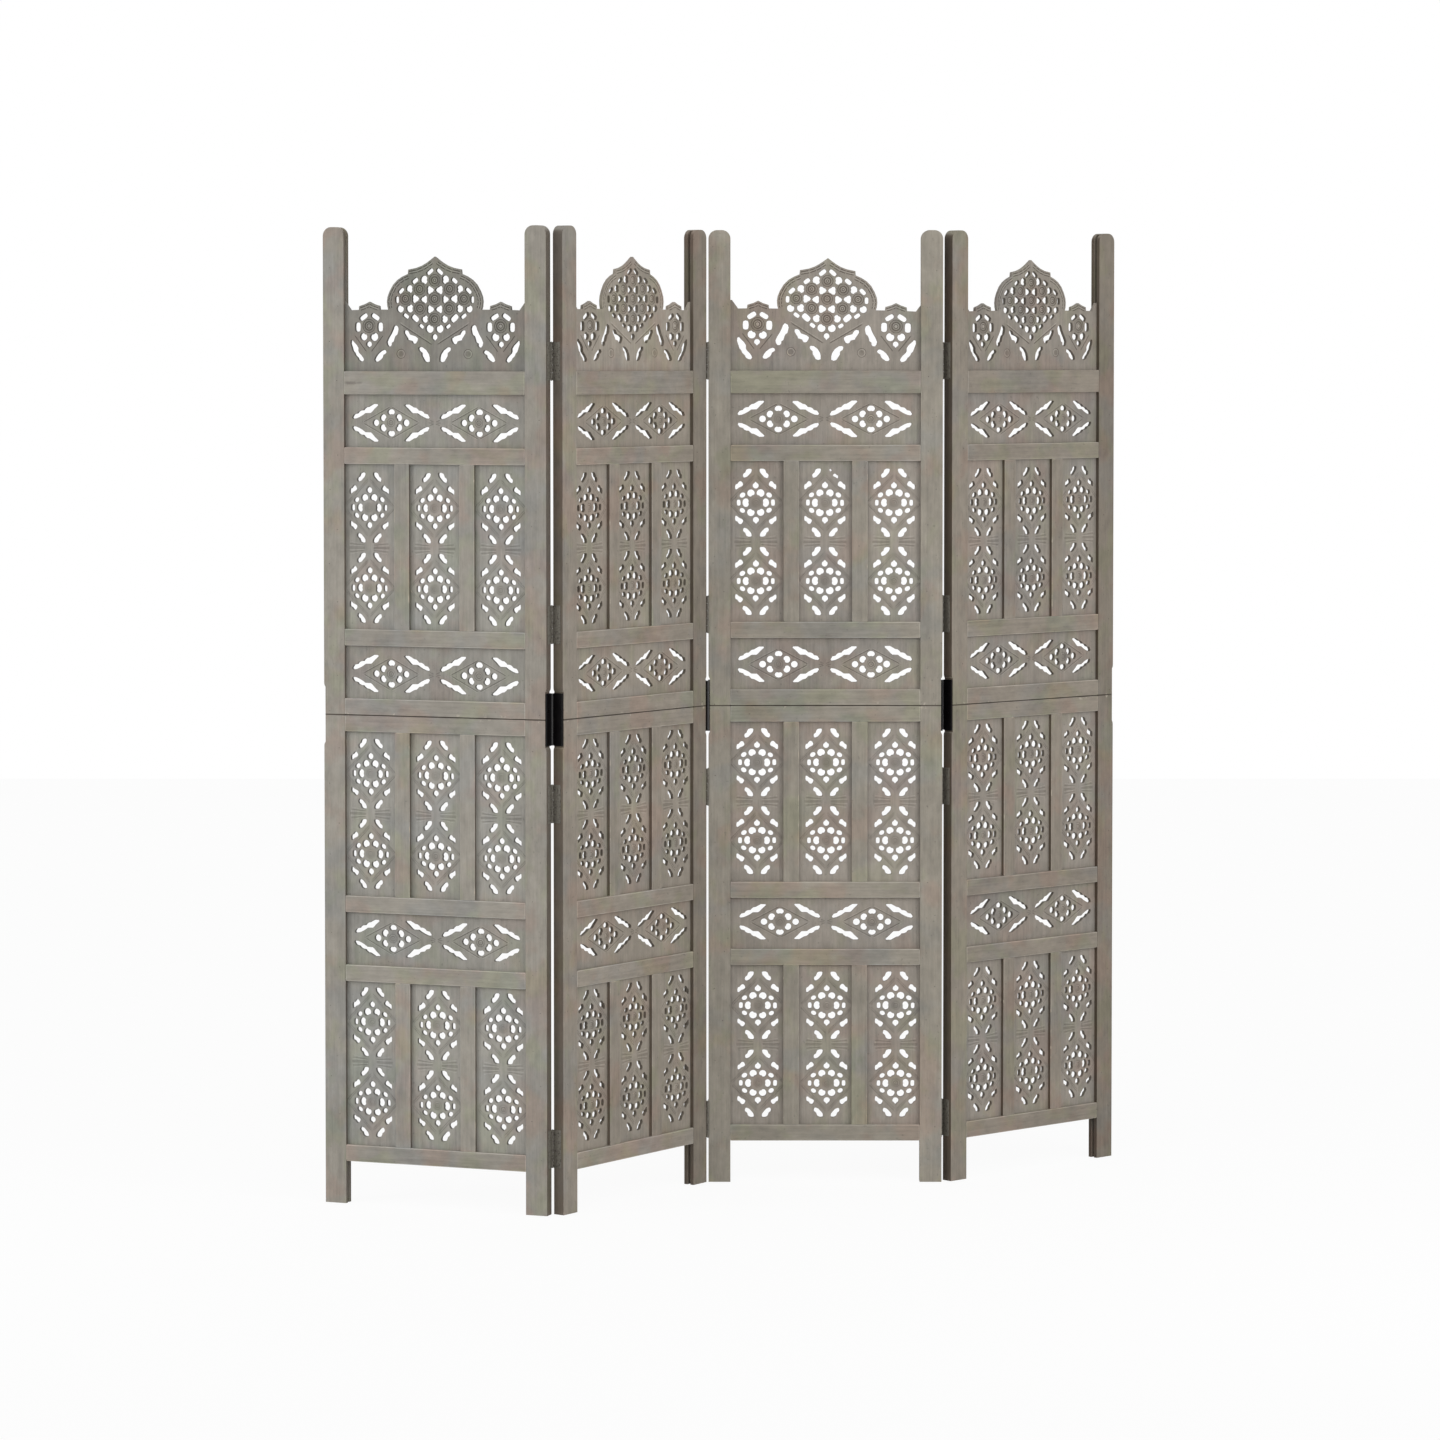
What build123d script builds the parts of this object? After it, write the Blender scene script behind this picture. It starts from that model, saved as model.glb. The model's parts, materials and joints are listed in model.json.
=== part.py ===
"""Four-panel folding jali screen in mango wood.

Each panel stands on two legs and is built as an upper and a lower frame. Stiles, rails and mullions
are grooved, and thin pierced plates, the jalis, sit in the grooves. Loose tenons and steel joining
plates hold the two frames together, and edge-mounted butt hinges join the panels into a zigzag.

A panel is drawn in its own frame: X from its left edge to its right edge, Y from its front face to
its back face, Z up from the floor. It is then turned about the hinge pins to where it stands open.
"""

import os
from math import atan2, cos, degrees, hypot, radians, sin

from build123d import *

# Panel, millimetres
FRAME_THICKNESS = 20.0
POST_WIDTH = 38.0
POST_CORNER_RADIUS = 15.0
COLUMNS = 3
COLUMN_WIDTH = 91.5
MULLION_WIDTH = 27.0
LEG_HEIGHT = 72.0
RAIL_HEIGHT = 28.0
CREST_RAIL_HEIGHT = 39.0
BAND_HEIGHT = 89.0
COLUMN_HEIGHT = 278.0
CREST_BAY_HEIGHT = 242.0

# Joinery
GROOVE_WIDTH = 6.4
GROOVE_DEPTH = 8.0
TENON_END_CLEARANCE = 0.5
LOOSE_TENON_WIDTH = 20.0
LOOSE_TENON_THICKNESS = 8.0
LOOSE_TENON_LENGTH = 44.0
LOOSE_TENON_CLEARANCE = 0.2

# Pierced plates
JALI_THICKNESS = 6.0
JALI_LAP = 6.0

# Joining plates and the notches that hold them
PLATE_HEIGHT = 88.0
PLATE_THICKNESS = 3.0
PLATE_EDGE_MARGIN = 1.0
NOTCH_DEPTH = 2.3
NOTCH_END_GAP = 9.0
NOTCH_CUTTER_RADIUS = 10.0

# Hinges
PANEL_GAP = 2.0
HINGE_HEIGHT = 64.0
HINGE_CENTRES = (110.0, 688.0, 987.0, 1425.0)
LEAF_THICKNESS = 0.8
LEAF_WIDTH = 15.0
KNUCKLE_RADIUS = 2.0
KNUCKLE_COUNT = 3
KNUCKLE_SIDES = 6
KNUCKLE_GAP = 0.3
PIN_RADIUS = 0.9
PIN_CLEARANCE = 0.1
BARREL_CLEARANCE = 0.3

# How the screen stands: the heading of each panel, seen from above, in degrees from the X axis
PANEL_HEADINGS = (-20.0, 54.0, 0.0, 42.0)
# The face that carries the pins of each joint, in turn from the left
PIN_FACES = ("back", "front", "back")

# Sizes worked out from those above
PANEL_WIDTH = 2 * POST_WIDTH + COLUMNS * COLUMN_WIDTH + (COLUMNS - 1) * MULLION_WIDTH
OPENING_WIDTH = PANEL_WIDTH - 2 * POST_WIDTH
LOWER_BAYS = (("column", COLUMN_HEIGHT), ("band", BAND_HEIGHT), ("column", COLUMN_HEIGHT))
UPPER_BAYS = (("band", BAND_HEIGHT), ("column", COLUMN_HEIGHT), ("band", BAND_HEIGHT))
TENON_LENGTH = GROOVE_DEPTH - TENON_END_CLEARANCE
PIN_OFFSET = KNUCKLE_RADIUS + BARREL_CLEARANCE
MIDDLE = FRAME_THICKNESS / 2


def box(x0, x1, y0, y1, z0, z1):
    """A box between two opposite corners."""
    low = Align.MIN, Align.MIN, Align.MIN
    return Pos(x0, y0, z0) * Box(x1 - x0, y1 - y0, z1 - z0, align=low)


def through(profile, y0, y1):
    """A face drawn in X and Z, made solid from y0 to y1."""
    return Pos(0, y1, 0) * extrude(Plane.XZ * profile, y1 - y0)


def stack(bottom, bays, top_rail_height):
    """Rails and openings from the bottom up: two lists of (kind, z0, z1)."""
    rails = [("bottom", bottom, bottom + RAIL_HEIGHT)]
    openings = []
    level = bottom + RAIL_HEIGHT
    for number, (kind, height) in enumerate(bays, start=1):
        openings.append((kind, level, level + height))
        level += height
        last = number == len(bays)
        rail_height = top_rail_height if last else RAIL_HEIGHT
        rails.append(("top" if last else "middle", level, level + rail_height))
        level += rail_height
    return rails, openings, level


LOWER_RAILS, LOWER_OPENINGS, SPLIT_HEIGHT = stack(LEG_HEIGHT, LOWER_BAYS, RAIL_HEIGHT)
UPPER_RAILS, UPPER_OPENINGS, CREST_BASE = stack(SPLIT_HEIGHT, UPPER_BAYS, CREST_RAIL_HEIGHT)
PANEL_HEIGHT = CREST_BASE + CREST_BAY_HEIGHT


# Frame members


def notch_profile():
    """The shallow cut for a joining plate, across the split at the left edge, with swept ends."""
    half = PLATE_HEIGHT / 2 + NOTCH_END_GAP
    run = (NOTCH_CUTTER_RADIUS**2 - (NOTCH_CUTTER_RADIUS - NOTCH_DEPTH) ** 2) ** 0.5
    bottom = SPLIT_HEIGHT - half
    top = SPLIT_HEIGHT + half
    floor = Line((NOTCH_DEPTH, bottom + run), (NOTCH_DEPTH, top - run))
    upper = RadiusArc((NOTCH_DEPTH, top - run), (0, top), NOTCH_CUTTER_RADIUS)
    lower = RadiusArc((0, bottom), (NOTCH_DEPTH, bottom + run), NOTCH_CUTTER_RADIUS)
    mouth = Line((0, top), (0, bottom))
    return make_face([floor, upper, mouth, lower])


def left_stile(bottom, top, rounded):
    """A post with its jali groove, its joining-plate notch and its loose-tenon mortise."""
    post = box(0, POST_WIDTH, 0, FRAME_THICKNESS, bottom, top)
    if rounded:
        corners = post.edges().filter_by(Axis.Y).group_by(Axis.Z)[-1]
        post = fillet(corners, POST_CORNER_RADIUS)
    half = GROOVE_WIDTH / 2
    post -= box(POST_WIDTH - GROOVE_DEPTH, POST_WIDTH, MIDDLE - half, MIDDLE + half, bottom, top)
    post -= through(notch_profile(), 0, FRAME_THICKNESS)
    return post - loose_tenon(LOOSE_TENON_CLEARANCE)


def loose_tenon(clearance=0.0):
    """The flat tenon across the split, midway between the notch and the groove of a left stile."""
    centre = (NOTCH_DEPTH + POST_WIDTH - GROOVE_DEPTH) / 2
    x = LOOSE_TENON_WIDTH / 2 + clearance
    y = LOOSE_TENON_THICKNESS / 2 + clearance
    z = LOOSE_TENON_LENGTH / 2 + clearance
    low, high = SPLIT_HEIGHT - z, SPLIT_HEIGHT + z
    return box(centre - x, centre + x, MIDDLE - y, MIDDLE + y, low, high)


def flipped(shape):
    """The same piece at the other edge of its panel."""
    return mirror(shape, Plane(origin=(PANEL_WIDTH / 2, 0, 0), z_dir=(1, 0, 0)))


def grooved_bar(length, height, groove_sides):
    """A bar along X from x = 0 and z = 0, grooved below (-1) or above (1), with a tenon at each end."""
    half = GROOVE_WIDTH / 2
    bar = box(0, length, 0, FRAME_THICKNESS, 0, height)
    tenon_low, tenon_high = 0.0, height
    if -1 in groove_sides:
        bar -= box(0, length, MIDDLE - half, MIDDLE + half, 0, GROOVE_DEPTH)
        tenon_low = GROOVE_DEPTH
    if 1 in groove_sides:
        bar -= box(0, length, MIDDLE - half, MIDDLE + half, height - GROOVE_DEPTH, height)
        tenon_high = height - GROOVE_DEPTH
    ends = -TENON_LENGTH, length + TENON_LENGTH
    return bar + box(*ends, MIDDLE - half, MIDDLE + half, tenon_low, tenon_high)


GROOVES_OF_RAIL = {"bottom": (1,), "middle": (-1, 1), "top": (-1,), "crest": (-1, 1)}


def rails(levels, carries_crest):
    """The rails of one frame. The uppermost one is grooved above only where it carries the crest."""
    made = []
    for kind, low, high in levels:
        sides = GROOVES_OF_RAIL["crest" if kind == "top" and carries_crest else kind]
        made.append(Pos(POST_WIDTH, 0, low) * grooved_bar(OPENING_WIDTH, high - low, sides))
    return made


def column_starts():
    """The left edge of each column opening."""
    return [POST_WIDTH + i * (COLUMN_WIDTH + MULLION_WIDTH) for i in range(COLUMNS)]


def mullions():
    """The uprights between the column openings of one panel."""
    made = []
    upright = Rot(0, -90, 0) * grooved_bar(COLUMN_HEIGHT, MULLION_WIDTH, (-1, 1))
    for kind, low, high in LOWER_OPENINGS + UPPER_OPENINGS:
        if kind == "column":
            made += [Pos(x, 0, low) * upright for x in column_starts()[1:]]
    return made


# Jalis. Piercings are drawn about the centre of a motif, in X and Z.


def leaf(centre, length, width, angle):
    """A pointed leaf, its long axis turned by an angle from X."""
    x, z = length / 2, width / 2
    outline = Polyline((-x, 0), (0, -z), (x, 0), (0, z), close=True)
    return Pos(*centre) * Rot(0, 0, angle) * make_face(outline)


def leaf_between(start, end, width):
    """A pointed leaf from one point to another."""
    run, rise = end[0] - start[0], end[1] - start[1]
    centre = (start[0] + end[0]) / 2, (start[1] + end[1]) / 2
    return leaf(centre, hypot(run, rise), width, degrees(atan2(rise, run)))


def in_quadrants(shape):
    """A face, and its mirror images left, below and diagonally opposite."""
    pair = [shape, mirror(shape, Plane.YZ)]
    return pair + [mirror(face, Plane.XZ) for face in pair]


# Margins are from the ends of an opening to the motifs in it
COLUMN_MOTIFS = 2
COLUMN_MOTIF_MARGIN = 3.5
CRESCENT_TIP_OFFSET = 8.0
CRESCENT_TIP_GAP = 6.5
CRESCENT_SIDE_MARGIN = 5.75
CRESCENT_WIDTH = 13.0

BAND_MOTIFS = 2
BAND_MOTIF_MARGIN = 4.25
BAND_LEAF_START = (22.5, 13.5)
BAND_LEAF_TIP = (8.0, 8.5)
BAND_LEAF_WIDTH = 9.0

COLUMN_MOTIF_PITCH = (COLUMN_HEIGHT - 2 * COLUMN_MOTIF_MARGIN) / COLUMN_MOTIFS
BAND_MOTIF_PITCH = (OPENING_WIDTH - 2 * BAND_MOTIF_MARGIN) / BAND_MOTIFS


def repeated(motif, count, pitch, along_z):
    """The faces of one motif, at each of its places along a plate."""
    made = []
    for i in range(count):
        distance = (i - (count - 1) / 2) * pitch
        place = Pos(0, distance) if along_z else Pos(distance, 0)
        made += [place * face for face in motif]
    return made


def column_piercings():
    """The two crescents that enclose each rosette of a column jali."""
    outer = COLUMN_WIDTH / 2 - CRESCENT_SIDE_MARGIN
    inner = outer - CRESCENT_WIDTH
    tip_x, tip_z = CRESCENT_TIP_OFFSET, COLUMN_MOTIF_PITCH / 2 - CRESCENT_TIP_GAP
    outline = Polyline((tip_x, tip_z), (inner, 0), (tip_x, -tip_z), (outer, 0), close=True)
    crescent = make_face(outline)
    motif = [crescent, mirror(crescent, Plane.YZ)]
    return repeated(motif, COLUMN_MOTIFS, COLUMN_MOTIF_PITCH, along_z=True)


def band_piercings():
    """The four long leaves round each rosette of a band jali.

    A leaf starts beside the rosette, near the edge of the band, and points at the next motif.
    """
    start_x, start_margin = BAND_LEAF_START
    tip_gap, tip_z = BAND_LEAF_TIP
    start = start_x, BAND_HEIGHT / 2 - start_margin
    tip = BAND_MOTIF_PITCH / 2 - tip_gap, tip_z
    motif = in_quadrants(leaf_between(start, tip, BAND_LEAF_WIDTH))
    return repeated(motif, BAND_MOTIFS, BAND_MOTIF_PITCH, along_z=False)


def pierced_plate(width, height, piercings):
    """A plate centred at the origin in X and Z, large enough to lap into the grooves all round."""
    y0, y1 = -JALI_THICKNESS / 2, JALI_THICKNESS / 2
    outline = Rectangle(width + 2 * JALI_LAP, height + 2 * JALI_LAP)
    return through(outline - piercings, y0, y1)


def column_jalis():
    plate = pierced_plate(COLUMN_WIDTH, COLUMN_HEIGHT, column_piercings())
    made = []
    for kind, low, high in LOWER_OPENINGS + UPPER_OPENINGS:
        if kind == "column":
            centre = (low + high) / 2
            made += [Pos(x + COLUMN_WIDTH / 2, MIDDLE, centre) * plate for x in column_starts()]
    return made


def band_jalis():
    plate = pierced_plate(OPENING_WIDTH, BAND_HEIGHT, band_piercings())
    made = []
    for kind, low, high in LOWER_OPENINGS + UPPER_OPENINGS:
        if kind == "band":
            made.append(Pos(PANEL_WIDTH / 2, MIDDLE, (low + high) / 2) * plate)
    return made


# The crest, a jali with a free upper edge. Heights are above its rail, and points across it are
# measured inwards from a stile, except where they are said to be from the middle.
CREST_APEX_HEIGHT = 194.0
OGEE_RADIUS = 75.0
DOME_STEP = (115.5, 165.5, 171.5)
DOME_SHOULDER = (88.5, 148.5)
DOME_BELLY = (77.5, 120.0)
SIDE_CREST_CENTRE = 45.0
SIDE_CREST_HALF_WIDTH = 18.5
SIDE_CREST_APEX = 119.0
SIDE_CREST_SHOULDER = 112.5
SIDE_CREST_SHOULDER_INSET = 4.0
PLATEAU_HEIGHT = 105.0
POST_CREST_WIDTH = 17.0
POST_CREST_APEX = 119.0

# Leaves of the crest's right half: centre, length and angle
CREST_LEAF_WIDTH = 9.5
LEAVES_FROM_MIDDLE = (
    ((42.0, 60.0), 27.0, 43.0),
    ((19.0, 30.5), 28.0, 58.0),
)
LEAVES_FROM_STILE = (
    ((85.75, 62.5), 36.0, -71.0),
    ((64.75, 30.0), 24.0, -50.0),
    ((22.25, 38.5), 42.0, 59.0),
)


def crest_half_outline():
    """The free edge of the crest from its apex to the right-hand stile."""
    stile = OPENING_WIDTH / 2
    step = stile - DOME_STEP[0]
    shoulder = stile - DOME_SHOULDER[0], DOME_SHOULDER[1]
    belly = stile - DOME_BELLY[0], DOME_BELLY[1]
    side = stile - SIDE_CREST_CENTRE
    inner = side - SIDE_CREST_HALF_WIDTH
    outer = side + SIDE_CREST_HALF_WIDTH
    post_crest = stile - POST_CREST_WIDTH
    ogee = RadiusArc((0, CREST_APEX_HEIGHT), (step, DOME_STEP[2]), -OGEE_RADIUS)
    drop = Line((step, DOME_STEP[2]), (step, DOME_STEP[1]))
    dome = ThreePointArc((step, DOME_STEP[1]), shoulder, belly)
    small_crests = Polyline(
        belly,
        (belly[0], PLATEAU_HEIGHT),
        (inner, PLATEAU_HEIGHT),
        (inner + SIDE_CREST_SHOULDER_INSET, SIDE_CREST_SHOULDER),
        (side, SIDE_CREST_APEX),
        (outer - SIDE_CREST_SHOULDER_INSET, SIDE_CREST_SHOULDER),
        (outer, PLATEAU_HEIGHT),
        (post_crest, PLATEAU_HEIGHT),
        (post_crest + SIDE_CREST_SHOULDER_INSET, SIDE_CREST_SHOULDER),
        (stile, POST_CREST_APEX),
        (stile + JALI_LAP, POST_CREST_APEX),
    )
    return [ogee, drop, dome, small_crests]


def crest_leaves():
    """The leaves of the crest's right half."""
    made = [leaf(centre, length, CREST_LEAF_WIDTH, turn) for centre, length, turn in LEAVES_FROM_MIDDLE]
    for (inwards, height), length, turn in LEAVES_FROM_STILE:
        centre = OPENING_WIDTH / 2 - inwards, height
        made.append(leaf(centre, length, CREST_LEAF_WIDTH, turn))
    return made


def crest_outline():
    half = crest_half_outline()
    side = OPENING_WIDTH / 2 + JALI_LAP
    base = Polyline((0, -JALI_LAP), (side, -JALI_LAP), (side, POST_CREST_APEX))
    middle = Line((0, -JALI_LAP), (0, CREST_APEX_HEIGHT))
    right = make_face(half + [base, middle])
    return right + mirror(right, Plane.YZ)


def crest_jali():
    """The domed top plate of a panel."""
    right = crest_leaves()
    left = [mirror(face, Plane.YZ) for face in right]
    plate = through(crest_outline() - right - left, -JALI_THICKNESS / 2, JALI_THICKNESS / 2)
    return Pos(PANEL_WIDTH / 2, MIDDLE, CREST_BASE) * plate


# Ironwork


def joining_plate():
    """The steel plate across the split, standing a little proud of its notch in the left edge."""
    low, high = SPLIT_HEIGHT - PLATE_HEIGHT / 2, SPLIT_HEIGHT + PLATE_HEIGHT / 2
    y0, y1 = PLATE_EDGE_MARGIN, FRAME_THICKNESS - PLATE_EDGE_MARGIN
    return box(NOTCH_DEPTH - PLATE_THICKNESS, NOTCH_DEPTH, y0, y1, low, high)


def knuckle_span(index):
    """Lower and upper ends of one knuckle, counted up from a hinge's bottom."""
    pitch = HINGE_HEIGHT / KNUCKLE_COUNT
    low = index * pitch + (KNUCKLE_GAP / 2 if index > 0 else 0)
    high = (index + 1) * pitch - (KNUCKLE_GAP / 2 if index < KNUCKLE_COUNT - 1 else 0)
    return low, high


def tube(outer, inner, low, high):
    """A short many-sided tube about the pin."""
    ring = RegularPolygon(outer, KNUCKLE_SIDES) - RegularPolygon(inner, KNUCKLE_SIDES)
    return Pos(0, 0, low) * extrude(ring, high - low)


def hinge_leaf(first_knuckle):
    """A leaf on the edge of the left-hand panel, its pin at the origin and behind that panel.

    Knuckles alternate between the two leaves, from the first one given.
    """
    bore = (PIN_RADIUS + PIN_CLEARANCE) / cos(radians(180 / KNUCKLE_SIDES))
    x0 = -PANEL_GAP / 2
    x1 = x0 + LEAF_THICKNESS
    leaf_top = -PIN_OFFSET
    made = box(x0, x1, leaf_top - LEAF_WIDTH, leaf_top, 0, HINGE_HEIGHT)
    for index in range(first_knuckle, KNUCKLE_COUNT, 2):
        low, high = knuckle_span(index)
        neck = box(x0, x1, leaf_top, x0, low, high)
        made += neck
        made += tube(KNUCKLE_RADIUS, bore, low, high)
    return made


def hinge_pin():
    return extrude(RegularPolygon(PIN_RADIUS, KNUCKLE_SIDES), HINGE_HEIGHT)


def at_hinges(shape, panel_edge, pin_face, right_leaf=False):
    """A hinge piece at each hinge of a joint, in the frame of the panel whose edge it is on."""
    if pin_face == "front":
        shape = mirror(shape, Plane.XZ)
    if right_leaf:
        shape = mirror(shape, Plane.YZ)
    x, y = pin_position(panel_edge, pin_face)
    return [Pos(x, y, centre - HINGE_HEIGHT / 2) * shape for centre in HINGE_CENTRES]


# Placing the panels


def pin_position(panel_edge, pin_face):
    """Where a joint's pins are, in the frame of the panel at one side of it."""
    x = PANEL_WIDTH + PANEL_GAP / 2 if panel_edge == "right" else -PANEL_GAP / 2
    y = FRAME_THICKNESS + PIN_OFFSET if pin_face == "back" else -PIN_OFFSET
    return x, y


def turned(point, heading):
    x, y = point
    c, s = cos(radians(heading)), sin(radians(heading))
    return c * x - s * y, s * x + c * y


def panel_places():
    """The (x, y, heading) of each panel, centred on the floor, and the (x, y) of each joint's pins."""
    corners = []
    joints = []
    places = [(0.0, 0.0, PANEL_HEADINGS[0])]
    for number, pin_face in enumerate(PIN_FACES):
        x, y, heading = places[number]
        dx, dy = turned(pin_position("right", pin_face), heading)
        joints.append((x + dx, y + dy))
        next_heading = PANEL_HEADINGS[number + 1]
        back_x, back_y = turned(pin_position("left", pin_face), next_heading)
        places.append((x + dx - back_x, y + dy - back_y, next_heading))
    for x, y, heading in places:
        for corner in ((0, 0), (PANEL_WIDTH, 0), (0, FRAME_THICKNESS), (PANEL_WIDTH, FRAME_THICKNESS)):
            dx, dy = turned(corner, heading)
            corners.append((x + dx, y + dy))
    middle_x = (min(x for x, _ in corners) + max(x for x, _ in corners)) / 2
    middle_y = (min(y for _, y in corners) + max(y for _, y in corners)) / 2
    places = [(x - middle_x, y - middle_y, heading) for x, y, heading in places]
    return places, [(x - middle_x, y - middle_y) for x, y in joints]


def panel_pieces(number):
    """Every piece of one panel, by the end of its node's name, in the panel's own frame."""
    lower = left_stile(0, SPLIT_HEIGHT, rounded=False)
    upper = left_stile(SPLIT_HEIGHT, PANEL_HEIGHT, rounded=True)
    tenon = loose_tenon()
    pieces = {
        "lower_left_stile": [lower],
        "lower_right_stile": [flipped(lower)],
        "upper_left_stile": [upper],
        "upper_right_stile": [flipped(upper)],
        "lower_rails": rails(LOWER_RAILS, carries_crest=False),
        "upper_rails": rails(UPPER_RAILS, carries_crest=True),
        "mullions": mullions(),
        "column_jalis": column_jalis(),
        "band_jalis": band_jalis(),
        "crest_jali": [crest_jali()],
        "loose_tenons": [tenon, flipped(tenon)],
    }
    plates = []
    if number > 1:
        plates.append(joining_plate())
    if number < len(PANEL_HEADINGS):
        plates.append(flipped(joining_plate()))
    pieces["joining_plates"] = plates
    return pieces


def write(node, solids, place):
    x, y, heading = place
    placed = [Pos(x, y, 0) * Rot(0, 0, heading) * solid for solid in solids]
    export_step(Compound(children=placed, label=node), f"parts/{node}.step")


def main():
    os.makedirs("parts", exist_ok=True)
    places, joints = panel_places()
    for number, place in enumerate(places, start=1):
        for name, solids in panel_pieces(number).items():
            write(f"panel_{number}_{name}", solids, place)
    for number, pin_face in enumerate(PIN_FACES, start=1):
        left, right = places[number - 1], places[number]
        joint = f"hinges_{number}_{number + 1}"
        write(f"{joint}_left_leaves", at_hinges(hinge_leaf(0), "right", pin_face), left)
        right_leaves = at_hinges(hinge_leaf(1), "left", pin_face, right_leaf=True)
        write(f"{joint}_right_leaves", right_leaves, right)
        write(f"{joint}_pins", at_hinges(hinge_pin(), "right", pin_face), left)
        x, y = joints[number - 1]
        print(f"pins {number}-{number + 1} at x {x:.4f} y {y:.4f}")
    print(f"panel {PANEL_WIDTH:.1f} wide, {PANEL_HEIGHT:.1f} high, split at {SPLIT_HEIGHT:.1f}")


main()
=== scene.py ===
# %% [markdown]
# # A folding jali screen, dressed for the camera
#
# The screen has four panels in grey-washed mango wood, joined by butt hinges into a zigzag. The CAD
# model already holds the frames, the joints and the ironwork at their real sizes. This lesson adds
# what the eye looks for: the pierced and carved jalis, round hinge knuckles, nails and screws, the
# washed finish with its worn edges, and plain soft studio light.
#
# Lengths are written in millimetres, the way a joiner would, and are turned into metres at the end.

# %% Load the frame
import json
import math
import random

import bmesh
import bpy
from mathutils import Matrix, Vector


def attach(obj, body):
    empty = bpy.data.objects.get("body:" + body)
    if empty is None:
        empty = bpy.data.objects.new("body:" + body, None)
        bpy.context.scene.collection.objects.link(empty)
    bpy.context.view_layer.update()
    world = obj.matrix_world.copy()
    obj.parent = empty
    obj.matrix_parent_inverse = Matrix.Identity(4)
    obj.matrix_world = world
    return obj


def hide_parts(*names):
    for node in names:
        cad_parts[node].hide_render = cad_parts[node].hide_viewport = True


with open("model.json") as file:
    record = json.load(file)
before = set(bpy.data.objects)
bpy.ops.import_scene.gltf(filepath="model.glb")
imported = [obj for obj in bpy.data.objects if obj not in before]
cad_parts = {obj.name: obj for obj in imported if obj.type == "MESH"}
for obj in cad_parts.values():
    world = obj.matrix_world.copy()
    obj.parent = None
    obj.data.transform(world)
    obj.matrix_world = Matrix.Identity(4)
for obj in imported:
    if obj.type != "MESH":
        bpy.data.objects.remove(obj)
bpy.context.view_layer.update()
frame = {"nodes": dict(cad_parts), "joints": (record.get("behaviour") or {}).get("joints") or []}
MM = 0.001

# %% [markdown]
# ## Where the panels stand
#
# Every panel is the same, so it is worked on once, in its own frame: X from its left edge to its
# right edge, Y from front to back, Z up. A matrix then carries the work to each panel. The hinge
# pins of the CAD model fix that matrix: a panel's pin is at a known point of its edge, and the
# panel's heading says how far it is turned about it. This is safer than copying coordinates by
# hand.

# %% The frame of each panel
PANEL_WIDTH = 404.5
FRAME_THICKNESS = 20.0
PANEL_GAP = 2.0
PIN_OFFSET = 2.3
PANEL_HEADINGS = {1: -20.0, 2: 54.0, 3: 0.0, 4: 42.0}
PIN_OF_PANEL = {
    1: ("fold_1_2", "right", "back"),
    2: ("fold_1_2", "left", "back"),
    3: ("fold_2_3", "left", "front"),
    4: ("fold_3_4", "left", "back"),
}


def pin_place(edge, face):
    """Where a hinge pin is in the frame of the panel at one side of it."""
    x = PANEL_WIDTH + PANEL_GAP / 2 if edge == "right" else -PANEL_GAP / 2
    y = FRAME_THICKNESS + PIN_OFFSET if face == "back" else -PIN_OFFSET
    return Vector((x, y, 0.0))


def panel_frame(number):
    """The matrix from a panel's own millimetres to metres where it stands."""
    joint, edge, face = PIN_OF_PANEL[number]
    pins = {j["name"]: j["pos_m"] for j in frame["joints"]}
    x, y, _ = pins[joint]
    turn = Matrix.Rotation(math.radians(PANEL_HEADINGS[number]), 4, "Z")
    at_pin = Matrix.Translation((x, y, 0)) @ turn @ Matrix.Scale(MM, 4)
    return at_pin @ Matrix.Translation(-pin_place(edge, face))


for number in PANEL_HEADINGS:
    corner = panel_frame(number) @ Vector((0, 0, 0))
    print(f"panel {number} starts at {corner.x:.4f}, {corner.y:.4f}")

# %% [markdown]
# ## The camera
#
# A long lens from about eight metres keeps the posts nearly parallel, as a product picture does.
# The camera looks slightly down, and a small vertical shift puts the screen a little above the
# middle of the square frame.

# %% Camera
CAMERA_PLACE = (-0.0167, -8.4164, 1.445)
CAMERA_PITCH = 2.32
CAMERA_SENSOR = 36
CAMERA_LENS = 122.23
CAMERA_SHIFT = -0.12

camera = bpy.data.objects.new("camera", bpy.data.cameras.new("camera"))
camera.location = CAMERA_PLACE
camera.rotation_euler = (math.radians(90 - CAMERA_PITCH), 0, 0)
camera.data.sensor_width = CAMERA_SENSOR
camera.data.lens = CAMERA_LENS
camera.data.shift_y = CAMERA_SHIFT
bpy.context.scene.collection.objects.link(camera)
bpy.context.scene.camera = camera
bpy.context.scene.view_settings.view_transform = "Standard"
print(f"camera {camera.data.lens} mm at {tuple(camera.location)}")

# %% [markdown]
# ## Helpers for node trees
#
# A material is a tree of nodes. Written out in full it is long, so one helper adds a node, sets
# its options and either links or fills its inputs. Effects that several finishes share, such as
# the grain or the wear, are node groups: they are built once, and each finish gives them its own
# values.


# %% Node helpers
def add(tree, kind, settings=None, **inputs):
    """Adds a node. An input takes a value or another node's output, and _1 means input number 1."""
    made = tree.nodes.new(kind)
    for name, value in (settings or {}).items():
        setattr(made, name, value)
    for name, value in inputs.items():
        socket = made.inputs[int(name[1:]) if name[0] == "_" else name.replace("_", " ")]
        if isinstance(value, bpy.types.NodeSocket):
            tree.links.new(value, socket)
        else:
            socket.default_value = value
    return made


def maths(tree, operation, *values):
    """A Math node's result, clamped to no range."""
    named = {f"_{i}": value for i, value in enumerate(values)}
    return add(tree, "ShaderNodeMath", {"operation": operation}, **named).outputs[0]


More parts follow.
